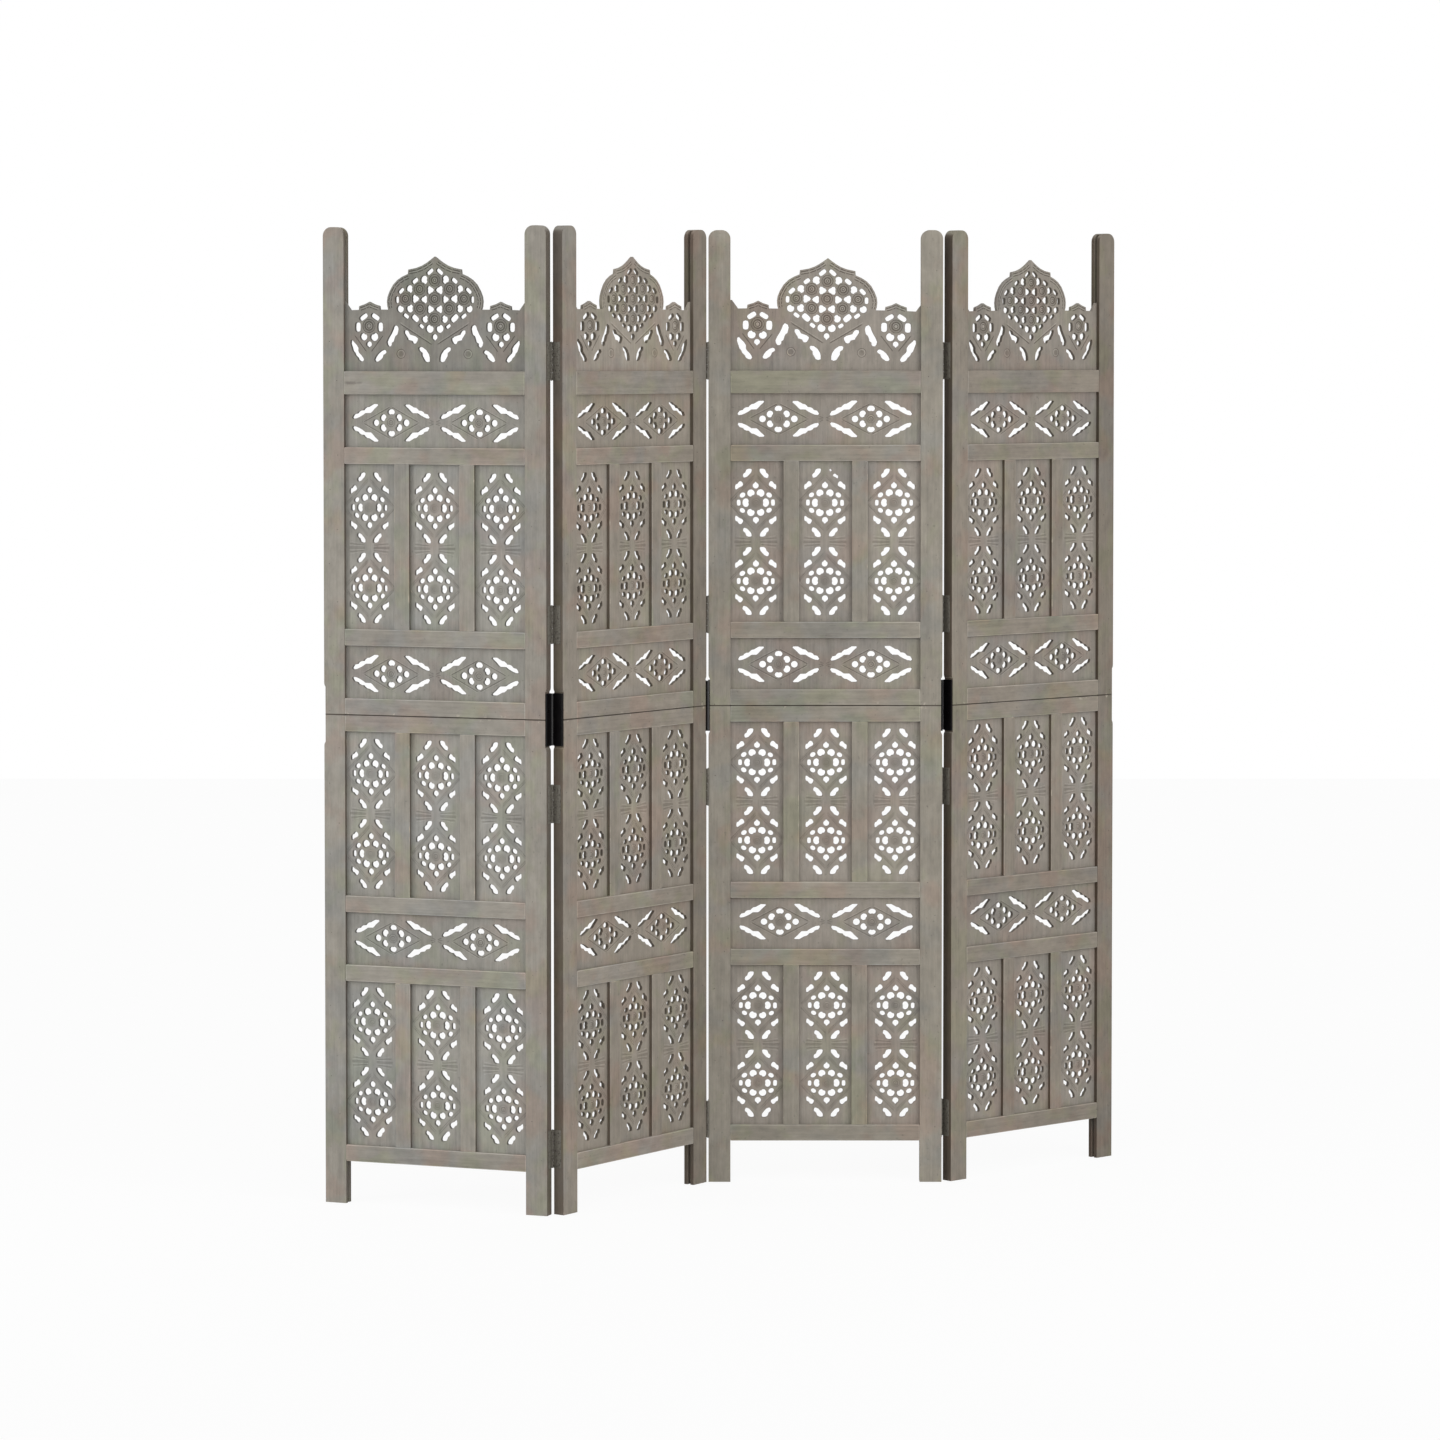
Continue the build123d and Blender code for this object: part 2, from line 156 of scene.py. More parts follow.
def spread(tree, value, low, high, to_low=0.0, to_high=1.0):
    """Maps a value from one range to another and clamps it, with a smooth start and end."""
    ranges = {"From_Min": low, "From_Max": high, "To_Min": to_low, "To_Max": to_high}
    smooth = {"interpolation_type": "SMOOTHSTEP"}
    return add(tree, "ShaderNodeMapRange", smooth, Value=value, **ranges).outputs[0]


def mixed(tree, factor, a, b, how="MIX"):
    """Mixes two colours."""
    settings = {"data_type": "RGBA", "blend_type": how}
    return add(tree, "ShaderNodeMix", settings, _0=factor, _6=a, _7=b).outputs[2]


def noise(tree, vector, scale, detail=2.0, roughness=0.5):
    """A noise texture's grey value."""
    size = {"Scale": scale, "Detail": detail, "Roughness": roughness}
    return add(tree, "ShaderNodeTexNoise", None, Vector=vector, **size).outputs["Fac"]


def stretched(tree, vector, x, y, z):
    """Scales a vector along each axis."""
    return add(tree, "ShaderNodeMapping", None, Vector=vector, Scale=(x, y, z)).outputs[0]


def new_group(name, inputs, outputs):
    """An empty node group with named sockets, and its inner input and output nodes."""
    tree = bpy.data.node_groups.new(name, "ShaderNodeTree")
    kinds = {"colour": "NodeSocketColor", "vector": "NodeSocketVector", "value": "NodeSocketFloat"}
    for socket, kind, start in inputs:
        made = tree.interface.new_socket(socket, in_out="INPUT", socket_type=kinds[kind])
        made.default_value = start
    for socket, kind in outputs:
        tree.interface.new_socket(socket, in_out="OUTPUT", socket_type=kinds[kind])
    return tree, tree.nodes.new("NodeGroupInput").outputs, tree.nodes.new("NodeGroupOutput").inputs


def srgb(red, green, blue):
    """A colour as a paint chart gives it, from 0 to 255, for a shader."""
    parts = [part / 255 for part in (red, green, blue)]
    linear = [p / 12.92 if p <= 0.04045 else ((p + 0.055) / 1.055) ** 2.4 for p in parts]
    return (*linear, 1.0)


MIDDLE_TONE = srgb(146, 140, 130)
PLACE = ("Vector", "vector", (0, 0, 0))
TONE = ("Color", "colour", MIDDLE_TONE)
print(f"the wash's middle tone is {[round(part, 3) for part in MIDDLE_TONE]}")

# %% [markdown]
# ## The grey wash
#
# The wood is mango, sanded, then wiped with a thin grey paint that lets a little of its colour
# through. So no two places are the same grey: patches lean to pink, to green or to blue, faint
# streaks follow the grain, and there are small dark pores. The group works in a space where the
# grain runs along Z. Noise that is squeezed across the grain and left long along it gives streaks.
# Each tint is written as the squeeze and the scale of its patches, the noise at which a patch is at
# full strength, and what it does to red, green and blue.

# %% Grey wash group
TINTS = {
    "pink": ((1.0, 1.0, 1.0), 14.0, 0.64, (1.05, 0.93, 0.91, 1)),
    "green": ((1.3, 1.3, 0.8), 17.0, 0.64, (0.96, 1.02, 0.90, 1)),
    "blue": ((0.9, 1.1, 1.2), 10.0, 0.66, (0.91, 0.96, 1.03, 1)),
}
MIDDLE = 0.5
PATCH_START = 0.50
CLOUD_STRENGTH = 0.50
MOTTLE_STRENGTH = 0.62
STREAK_STRENGTH = 0.55
PORE_STRENGTH = 0.09
SPECK_STRENGTH = 0.22

wash, given, result = new_group(
    "grey_wash",
    [PLACE, ("Wash", "colour", MIDDLE_TONE), ("Patches", "value", 1.0)],
    [("Color", "colour"), ("Roughness", "value"), ("Height", "value")],
)
place, colour = given["Vector"], given["Wash"]
for squeeze, scale, full, tint in TINTS.values():
    patch = noise(wash, stretched(wash, place, *squeeze), scale, 3.0)
    amount = maths(wash, "MULTIPLY", spread(wash, patch, PATCH_START, full), given["Patches"])
    colour = mixed(wash, amount, colour, tint, "MULTIPLY")
cloud = noise(wash, place, 5.0, 4.0, 0.6)
mottle = noise(wash, stretched(wash, place, 62, 62, 34), 1.0, 4.0, 0.65)
streak = noise(wash, stretched(wash, place, 230, 230, 8), 1.0, 4.0, 0.65)
pore = spread(wash, noise(wash, stretched(wash, place, 620, 620, 42), 1.0, 2.0), 0.58, 0.70)
speck = spread(wash, noise(wash, place, 190.0, 1.0), 0.72, 0.78)
swings = ((cloud, CLOUD_STRENGTH), (mottle, MOTTLE_STRENGTH), (streak, STREAK_STRENGTH))
shade = 1.0
for tones, strength in swings:
    swing = maths(wash, "SUBTRACT", tones, MIDDLE)
    shade = maths(wash, "ADD", shade, maths(wash, "MULTIPLY", swing, strength))
for dots, strength in ((pore, PORE_STRENGTH), (speck, SPECK_STRENGTH)):
    shade = maths(wash, "SUBTRACT", shade, maths(wash, "MULTIPLY", dots, strength))
grey = add(wash, "ShaderNodeCombineColor", None, Red=shade, Green=shade, Blue=shade).outputs[0]
grain = maths(wash, "SUBTRACT", streak, maths(wash, "MULTIPLY", pore, 0.8))
wash.links.new(mixed(wash, 1.0, colour, grey, "MULTIPLY"), result["Color"])
wash.links.new(spread(wash, streak, 0.3, 0.7, 0.66, 0.82), result["Roughness"])
wash.links.new(grain, result["Height"])
print(f"grey wash group: {len(wash.nodes)} nodes")

# %% [markdown]
# ## Wear
#
# Paint goes first where hands and other furniture rub: at the sharp arrises. The bevel that is put
# on each edge below gets a material of its own, and this group breaks it up, so that the bare,
# paler wood shows in short runs and not as a drawn line. The Amount sets how much of it is bare.

# %% Worn edge group
BARE_WOOD = srgb(188, 178, 160)
WEAR_START = 0.72
WEAR_REACH = 0.30

wear, given, result = new_group(
    "worn_edge",
    [PLACE, TONE, ("Bare", "colour", BARE_WOOD), ("Amount", "value", 0.5)],
    [("Color", "colour")],
)
runs = noise(wear, given["Vector"], 38.0, 4.0, 0.62)
reach = maths(wear, "MULTIPLY", given["Amount"], WEAR_REACH)
least = maths(wear, "SUBTRACT", WEAR_START, reach)
rubbed = spread(wear, maths(wear, "SUBTRACT", runs, least), 0.0, 0.10)
wear.links.new(mixed(wear, rubbed, given["Color"], given["Bare"]), result["Color"])
print(f"worn edge group: {len(wear.nodes)} nodes")

# %% [markdown]
# ## The split across the posts
#
# Each panel is two frames, one on the other. Where they meet, a thin dark line of dirt and shadow
# crosses posts and rails, and the paint is chipped on both sides of it. The group reads the height
# over the floor: very near the split it turns dark, and within a few millimetres it breaks to bare
# wood where a noise says so.

# %% Split line group
SPLIT_HEIGHT = 829.0
CHIPPED_TONE = srgb(176, 168, 154)
SPLIT_DIRT = srgb(58, 50, 43)
CHIPS_REACH = (0.002, 0.008)
DIRT_REACH = (0.0003, 0.0009)
DIRT_WANDER = 0.0010

split, given, result = new_group("split_line", [PLACE, TONE], [("Color", "colour")])
height = add(split, "ShaderNodeSeparateXYZ", None, Vector=given["Vector"]).outputs["Z"]
distance = maths(split, "ABSOLUTE", maths(split, "SUBTRACT", height, SPLIT_HEIGHT * MM))
near = spread(split, distance, *CHIPS_REACH, 0.7, 0.0)
chips = spread(split, noise(split, given["Vector"], 60.0, 3.0, 0.6), 0.63, 0.68)
colour = mixed(split, maths(split, "MULTIPLY", near, chips), given["Color"], CHIPPED_TONE)
wander = maths(split, "MULTIPLY", noise(split, given["Vector"], 30.0, 2.0), DIRT_WANDER)
line = spread(split, maths(split, "SUBTRACT", distance, wander), *DIRT_REACH, 0.92, 0.0)
split.links.new(mixed(split, line, colour, SPLIT_DIRT), result["Color"])
print(f"split line group: {len(split.nodes)} nodes")

# %% [markdown]
# ## Grimy and shaded sides
#
# The narrow sides of posts and mullions, inside every opening and between the panels, are painted
# darker. Partly it is dirt: the wash was wiped onto the broad faces, so the sides got less of it
# and more dirt. Partly it is painted shade, for the shade that falls in the openings and between
# the panels. The group compares the surface's own direction with the panel's length, which a
# heading turns.

# %% Grimy and shaded sides group
# Dirt and painted shade: the colour that darkens the narrow sides.
SIDE_DIRT_AND_SHADE = srgb(150, 138, 128)
SIDEWAYS = (0.75, 0.97)

sides, given, result = new_group(
    "grimy_shaded_sides",
    [("Direction", "vector", (0, 0, 1)), TONE, ("Grime", "value", 0.5)],
    [("Color", "colour")],
)
across = add(sides, "ShaderNodeSeparateXYZ", None, Vector=given["Direction"]).outputs["X"]
sideways = spread(sides, maths(sides, "ABSOLUTE", across), *SIDEWAYS)
grimy_shaded = maths(sides, "MULTIPLY", sideways, given["Grime"])
sides.links.new(mixed(sides, grimy_shaded, given["Color"], SIDE_DIRT_AND_SHADE, "MULTIPLY"), result["Color"])
print(f"grimy sides group: {len(sides.nodes)} nodes")

# %% [markdown]
# ## A smudge
#
# A hand or a damp cloth has left one dark smear on a crest rail. It is a soft oval round a given
# point, broken up by noise.

# %% Smudge group
SMUDGE_TONE = srgb(104, 98, 92)
SMUDGE_SQUEEZE = (40, 40, 190)
SMUDGE_RAGGED = 1.2
SMUDGE_EDGE = (0.7, 1.5)
SMUDGE_STRENGTH = 0.75

centre = ("Centre", "vector", (0, 0, 0))
smudge, given, result = new_group("smudge", [PLACE, TONE, centre], [("Color", "colour")])
minus = {"operation": "SUBTRACT"}
offset = add(smudge, "ShaderNodeVectorMath", minus, _0=given["Vector"], _1=given["Centre"])
oval = stretched(smudge, offset.outputs[0], *SMUDGE_SQUEEZE)
reach = add(smudge, "ShaderNodeVectorMath", {"operation": "LENGTH"}, _0=oval).outputs["Value"]
ragged = noise(smudge, given["Vector"], 150.0, 3.0)
reach = maths(smudge, "ADD", reach, maths(smudge, "MULTIPLY", ragged, SMUDGE_RAGGED))
smeared = spread(smudge, reach, *SMUDGE_EDGE, SMUDGE_STRENGTH, 0.0)
smudge.links.new(mixed(smudge, smeared, given["Color"], SMUDGE_TONE), result["Color"])
print(f"smudge group: {len(smudge.nodes)} nodes")

# %% [markdown]
# ## Finishes
#
# A finish puts those groups together round one shader. The same function makes them all: the
# heading turns the pattern with its panel, and a rail's pattern is laid on its side, so that the
# grain runs along every piece, as a joiner would cut it.


# %% Wood finish
WOOD_SPECULAR = 0.28
WOOD_RELIEF = 0.0006
FRAME_BUMP = 0.25
JALI_BUMP = 0.18


def use(tree, group, **inputs):
    """Places a node group in a material."""
    return add(tree, "ShaderNodeGroup", {"node_tree": group}, **inputs).outputs


def new_finish(name):
    """A new material, with its tree, its shader's inputs and its coordinates."""
    finish = bpy.data.materials.new(name)
    finish.use_nodes = True
    tree = finish.node_tree
    shader = tree.nodes["Principled BSDF"].inputs
    return finish, tree, shader, add(tree, "ShaderNodeTexCoord").outputs


def feed(tree, shader, colour, roughness, specular, strength, depth, height):
    """Gives a shader its colour, its roughness, its shine and its relief."""
    tree.links.new(colour, shader["Base Color"])
    tree.links.new(roughness, shader["Roughness"])
    shader["Specular IOR Level"].default_value = specular
    relief = add(tree, "ShaderNodeBump", None, Strength=strength, Distance=depth, Height=height)
    tree.links.new(relief.outputs[0], shader["Normal"])


def wood_finish(
    name, tone, heading, along="Z", bare=0.0, bump=FRAME_BUMP, split_shows=True, grime=0.0,
    smear=None, patches=1.0,
):
    """Grey-washed wood with its grain along Z, or along the panel's own X."""
    finish, tree, shader, coordinates = new_finish(name)
    where = coordinates["Object"]
    lay = (0.0, math.radians(90) if along == "X" else 0.0, math.radians(heading))
    laid = {"vector_type": "TEXTURE"}
    turned = add(tree, "ShaderNodeMapping", laid, Vector=where, Rotation=lay).outputs[0]
    washed = use(tree, wash, Vector=turned, Wash=tone, Patches=patches)
    colour = washed["Color"]
    # The sides are darkened, partly by dirt and partly by painted shade in openings and between
    # panels.
    if grime > 0:
        facing = (0.0, 0.0, -math.radians(heading))
        faced = {"vector_type": "NORMAL"}
        own = add(tree, "ShaderNodeMapping", faced, Vector=coordinates["Normal"], Rotation=facing)
        colour = use(tree, sides, Direction=own.outputs[0], Color=colour, Grime=grime)["Color"]
    if smear:
        colour = use(tree, smudge, Vector=where, Color=colour, Centre=smear)["Color"]
    if bare > 0:
        colour = use(tree, wear, Vector=where, Color=colour, Amount=bare)["Color"]
    if split_shows:
        colour = use(tree, split, Vector=where, Color=colour)["Color"]
    rough, height = washed["Roughness"], washed["Height"]
    feed(tree, shader, colour, rough, WOOD_SPECULAR, bump, WOOD_RELIEF, height)
    return finish


print(f"wood finishes are built from {len(bpy.data.node_groups)} groups")

# %% [markdown]
# ## Tones of the panels
#
# Each panel has its own tone. Part of it is the wash, which no two panels took alike, and part is
# painted light: the tones also carry how brightly each panel is lit. Some posts are painted darker
# as shade, and the column boards are painted lighter against the shade of their narrow openings.
# Tones are written as on a paint chart, and the other finishes are so many steps lighter or darker
# than their panel's tone: the worn edges and the raised beads are painted lighter as highlights,
# the grooves and the sawn edges of the holes are painted darker as shade, and the inner slopes are
# darker.

# %% Tones
# Part real tone, part painted light for how brightly each panel is lit.
FRAME_TONES = {1: (142, 137, 128), 2: (144, 136, 125), 3: (142, 136, 125), 4: (135, 127, 116)}
JALI_TONES = {1: (138, 135, 128), 2: (143, 135, 124), 3: (140, 133, 124), 4: (135, 128, 119)}
# Painted shade on the right posts of panels 2 and 4.
STILE_SHADE_STEPS = {(2, "right"): -14, (3, "left"): 3, (4, "right"): -12}
# Painted light: the boards are lifted against the shade of their openings, the columns most.
KIND_LIGHT_STEPS = {"column_jalis": 7, "band_jalis": 3, "crest_jali": 3}
CREST_STEPS = {1: -15, 2: 7, 3: 0, 4: 0}
# Painted highlights along the eased edges, under their wear.
POST_EDGE_HIGHLIGHT_STEPS = 14
RAIL_EDGE_HIGHLIGHT_STEPS = 26
# Painted highlight on the raised beads.
BEAD_HIGHLIGHT_STEPS = 16
DUSK_STEPS = -14
# Painted shade in the holes' walls and sunk rings, and in the grooves.
HOLLOW_SHADE_STEPS = -34
GROOVE_SHADE_STEPS = {"column_jalis": -20, "band_jalis": -34, "crest_jali": -48}
print(f"{len(FRAME_TONES)} frame tones and {len(JALI_TONES)} jali tones")

# %% Wood finishes
# How strongly each panel's sides are darkened by dirt and painted shade.
GRIME_AND_SHADE = {1: 0.75, 2: 0.72, 3: 0.9, 4: 0.85}
FRAME_PATCHES = 0.8
JALI_PATCHES = 0.6
POST_BARE = 0.45
RAIL_BARE = 0.2
BEAD_BARE = 0.3
SMEARS = {1: (54, 0, 1388)}


def stepped(tone, steps):
    """A tone made lighter or darker by a few steps."""
    return srgb(*(part + steps for part in tone))


def upright_finishes(number, post):
    """The face and the edge of one panel's posts at one side, or of its mullions."""
    tone, heading, label = FRAME_TONES[number], PANEL_HEADINGS[number], f"{number}_{post}"
    steps = STILE_SHADE_STEPS.get((number, post), 0)
    # The edge is the face's tone painted lighter, as a highlight, and it is worn too.
    face, edge = stepped(tone, steps), stepped(tone, steps + POST_EDGE_HIGHLIGHT_STEPS)
    looks = {"grime": GRIME_AND_SHADE[number], "patches": FRAME_PATCHES}
    return (
        wood_finish(f"upright_{label}", face, heading, **looks),
        wood_finish(f"upright_edge_{label}", edge, heading, bare=POST_BARE),
    )


def rail_finishes(number):
    """The face and the edge of one panel's rails."""
    tone, heading = FRAME_TONES[number], PANEL_HEADINGS[number]
    # The rail's edge is painted lighter, as a highlight along its arris, and it is worn too.
    face, edge = stepped(tone, 0), stepped(tone, RAIL_EDGE_HIGHLIGHT_STEPS)
    smear = panel_frame(number) @ Vector(SMEARS[number]) if number in SMEARS else None
    return (
        wood_finish(f"rail_{number}", face, heading, "X", smear=smear, patches=FRAME_PATCHES),
        wood_finish(f"rail_edge_{number}", edge, heading, "X", bare=RAIL_BARE),
    )


def jali_finishes(number, kind):
    """A jali's finishes: its face, bead, groove, dusk and sawn edge, in that order. The bead is
    painted lighter as a highlight, and the groove and the sawn edge darker as shade.
    """
    own = KIND_LIGHT_STEPS[kind] + (CREST_STEPS[number] if kind == "crest_jali" else 0)
    # The bead is painted lighter as a highlight; the groove and the sawn edges darker as shade.
    cuts = {
        "face": 0, "bead": BEAD_HIGHLIGHT_STEPS, "groove": GROOVE_SHADE_STEPS[kind], "dusk": DUSK_STEPS,
        "sawn": HOLLOW_SHADE_STEPS,
    }
    looks = {"bump": JALI_BUMP, "split_shows": False, "patches": JALI_PATCHES}
    made = []
    for label, steps in cuts.items():
        tone = stepped(JALI_TONES[number], steps + own)
        bare = BEAD_BARE if label == "bead" else 0.0
        name = f"{kind}_{label}_{number}"
        made.append(wood_finish(name, tone, PANEL_HEADINGS[number], bare=bare, **looks))
    return made


upright_wood, rail_wood, jali_wood = {}, {}, {}
for number in PANEL_HEADINGS:
    for post in ("left", "middle", "right"):
        upright_wood[number, post] = upright_finishes(number, post)
    rail_wood[number] = rail_finishes(number)
    for kind in KIND_LIGHT_STEPS:
        jali_wood[number, kind] = jali_finishes(number, kind)
print(f"{len(bpy.data.materials)} materials so far")

# %% [markdown]
# ## Iron
#
# The joining plates are black and glossy, and the hinges were painted over with the wood, so they
# are the same grey with dark iron where the paint has rubbed off the knuckles.

# %% Iron finishes
IRON_RELIEF = 0.0003
IRON_BUMP = 0.2
DUSTING = 0.15


def iron_finish(
    name, paint, under, chipped, roughness, metal=0.0, rub_scale=120.0, specular=0.5
):
    """Painted iron: noise rubs the paint away, and the iron under it can be metallic."""
    finish, tree, shader, coordinates = new_finish(name)
    where = coordinates["Object"]
    least = 0.64 - 0.3 * chipped
    rubbed = spread(tree, noise(tree, where, rub_scale, 4.0, 0.65), least, least + 0.10)
    colour = mixed(tree, rubbed, srgb(*paint), srgb(*under))
    dust = noise(tree, where, 55.0, 3.0)
    dusty = spread(tree, dust, 0.3, 0.7, roughness, roughness + DUSTING)
    if metal > 0:
        tree.links.new(maths(tree, "MULTIPLY", rubbed, metal), shader["Metallic"])
    feed(tree, shader, colour, dusty, specular, IRON_BUMP, IRON_RELIEF, rubbed)
    return finish


black_plate = iron_finish("black_plate", (12, 10, 11), (26, 23, 23), 0.1, 0.26, specular=0.12)
black_barrel = iron_finish("black_barrel", (14, 12, 13), (30, 27, 27), 0.1, 0.24)
painted_hinge = iron_finish(
    "painted_hinge", (112, 108, 99), (70, 65, 59), 0.42, 0.45, 0.2, rub_scale=420.0, specular=0.3
)
hinge_pin_iron = iron_finish("hinge_pin_iron", (78, 73, 68), (46, 42, 40), 0.5, 0.38, 0.8)
nail_iron = iron_finish("nail_iron", (74, 62, 52), (48, 40, 35), 0.5, 0.6)
print("iron finishes made")

# %% [markdown]
# ## Dressing the CAD nodes
#
# The frame members, the tenons and the plates already have their real shape, so they keep it. They
# need two things: a finish, and edges that aren't razor sharp. Their meshes are loose triangles, so
# a Weld modifier joins them first. A Bevel modifier then eases the edges and gives the new narrow
# faces the second material, which is the worn one, painted lighter as a highlight along the arris.

# %% Finish and ease each node
POST_ARRIS = 1.0
RAIL_ARRIS = 1.4
PLATE_ARRIS = 0.15
WELD_REACH = 0.00001
SHARP_EDGE = 40


def ease(node, width):
    """Joins a node's loose triangles and bevels its sharp edges, with modifiers."""
    weld = node.modifiers.new("join_triangles", "WELD")
    weld.merge_threshold = WELD_REACH
    bevel = node.modifiers.new("eased_edges", "BEVEL")
    bevel.width = width * MM
    bevel.segments = 2
    bevel.limit_method = "ANGLE"
    bevel.angle_limit = math.radians(SHARP_EDGE)
    bevel.material = 1


def dress(node, finishes, arris=None):
    """Gives a CAD node its finishes, the face's and the eased edge's, and eases its edges."""
    node.data.materials.clear()
    for finish in finishes:
        node.data.materials.append(finish)
    if arris:
        ease(node, arris)


for name, node in frame["nodes"].items():
    number = int(name.split("_")[1])
    post = "left" if "left_stile" in name else "right" if "right_stile" in name else "middle"
    if name.endswith("_rails"):
        dress(node, rail_wood[number], RAIL_ARRIS)
    elif name.endswith(("_stile", "_mullions")):
        dress(node, upright_wood[number, post], POST_ARRIS)
    elif name.endswith("loose_tenons"):
        dress(node, upright_wood[number, post][:1])
    elif name.endswith("joining_plates"):
        dress(node, [black_plate, black_plate], PLATE_ARRIS)
print("frame members dressed")

# %% [markdown]
# ## Carving a plate
#
# A jali is a thin board sawn through with a fretsaw and then chip-carved. The plates are drawn the
# same way: closed loops of edges lie in the front plane, one for the board's outline, one for each
# hole and one for each carved mark. One operator fills the board round all of them at once. The
# carved marks are then filled too and pushed in or out with insets, the holes get a small chamfer
# and half a wall, and the whole half-board is mirrored to the back. Booleans would cut the same
# holes, but slowly, and with ragged edges that can't be chamfered.

# %% Loops
JALI_THICKNESS = 6.0
FRONT = -JALI_THICKNESS / 2
TAU = 2 * math.pi


def at_angle(verts, degrees):
    """The vertex of a loop that lies in that direction from its middle."""
    aim = Vector((math.cos(math.radians(degrees)), math.sin(math.radians(degrees))))
    return max(verts, key=lambda v: v.co.xy.normalized().dot(aim))


def round_loop(bm, points):
    """A circle of a few points."""
    return bmesh.ops.create_circle(bm, segments=points, radius=1.0)["verts"]


def through_points(bm, points):
    """A closed loop through a few points."""
    verts = [bm.verts.new((x, y, 0)) for x, y in points]
    for a, b in zip(verts, verts[1:] + verts[:1]):
        bm.edges.new((a, b))
    return verts


print("loops are drawn flat round the origin, one unit in radius")

# %% Turned loops
def hole(bm):
    """A hand-sawn round hole."""
    return round_loop(bm, 10)


def bar(bm):
    """A rounded bar, the way a file leaves a short slot."""
    verts = round_loop(bm, 12)
    for v in verts:
        v.co = Vector([math.copysign(abs(part) ** 0.6, part) for part in v.co])
    return verts


def petal_hole(bm):
    """Round, with the flower's petal standing into it at its left."""
    verts = round_loop(bm, 12)
    at_angle(verts, 180).co *= 0.68
    for side in (150, 210):
        at_angle(verts, side).co *= 0.95
    return verts


def twin_hole(bm):
    """Round, with one flower standing into it at its left and one at its lower right."""
    verts = petal_hole(bm)
    at_angle(verts, -60).co *= 0.74
    return verts


def drop(bm):
    """Round, drawn out to a point at its right."""
    verts = round_loop(bm, 12)
    at_angle(verts, 0).co *= 1.3
    for side in (30, -30):
        at_angle(verts, side).co *= 0.9
    return verts


def clover(bm):
    """Three lobes, the first one to the right."""
    verts = round_loop(bm, 12)
    for v in verts:
        v.co *= 1 + 0.2 * math.cos(3 * math.atan2(v.co.y, v.co.x))
    return verts


def chip(bm):
    """A narrow cut with pointed ends."""
    return through_points(bm, [(1, 0), (0.92, 1), (-0.92, 1), (-1, 0), (-0.92, -1), (0.92, -1)])


def disc(bm):
    """A round mark."""
    return round_loop(bm, 20)


def flower(bm):
    """A disc with eight petals."""
    verts = round_loop(bm, 16)
    for v in verts[::2]:
        v.co *= 0.92
    return verts


print("nine turned loops to carve with")

# %% [markdown]
# ## Leaves
#
# Nine loops come from a circle, with some of its points pushed in or drawn out. The leaves and the
# slanted slots are freer: a fretsaw went round them by hand. So each is a loop through a few
# points, in a square from -1 to 1 that is later given the leaf's real length and width.

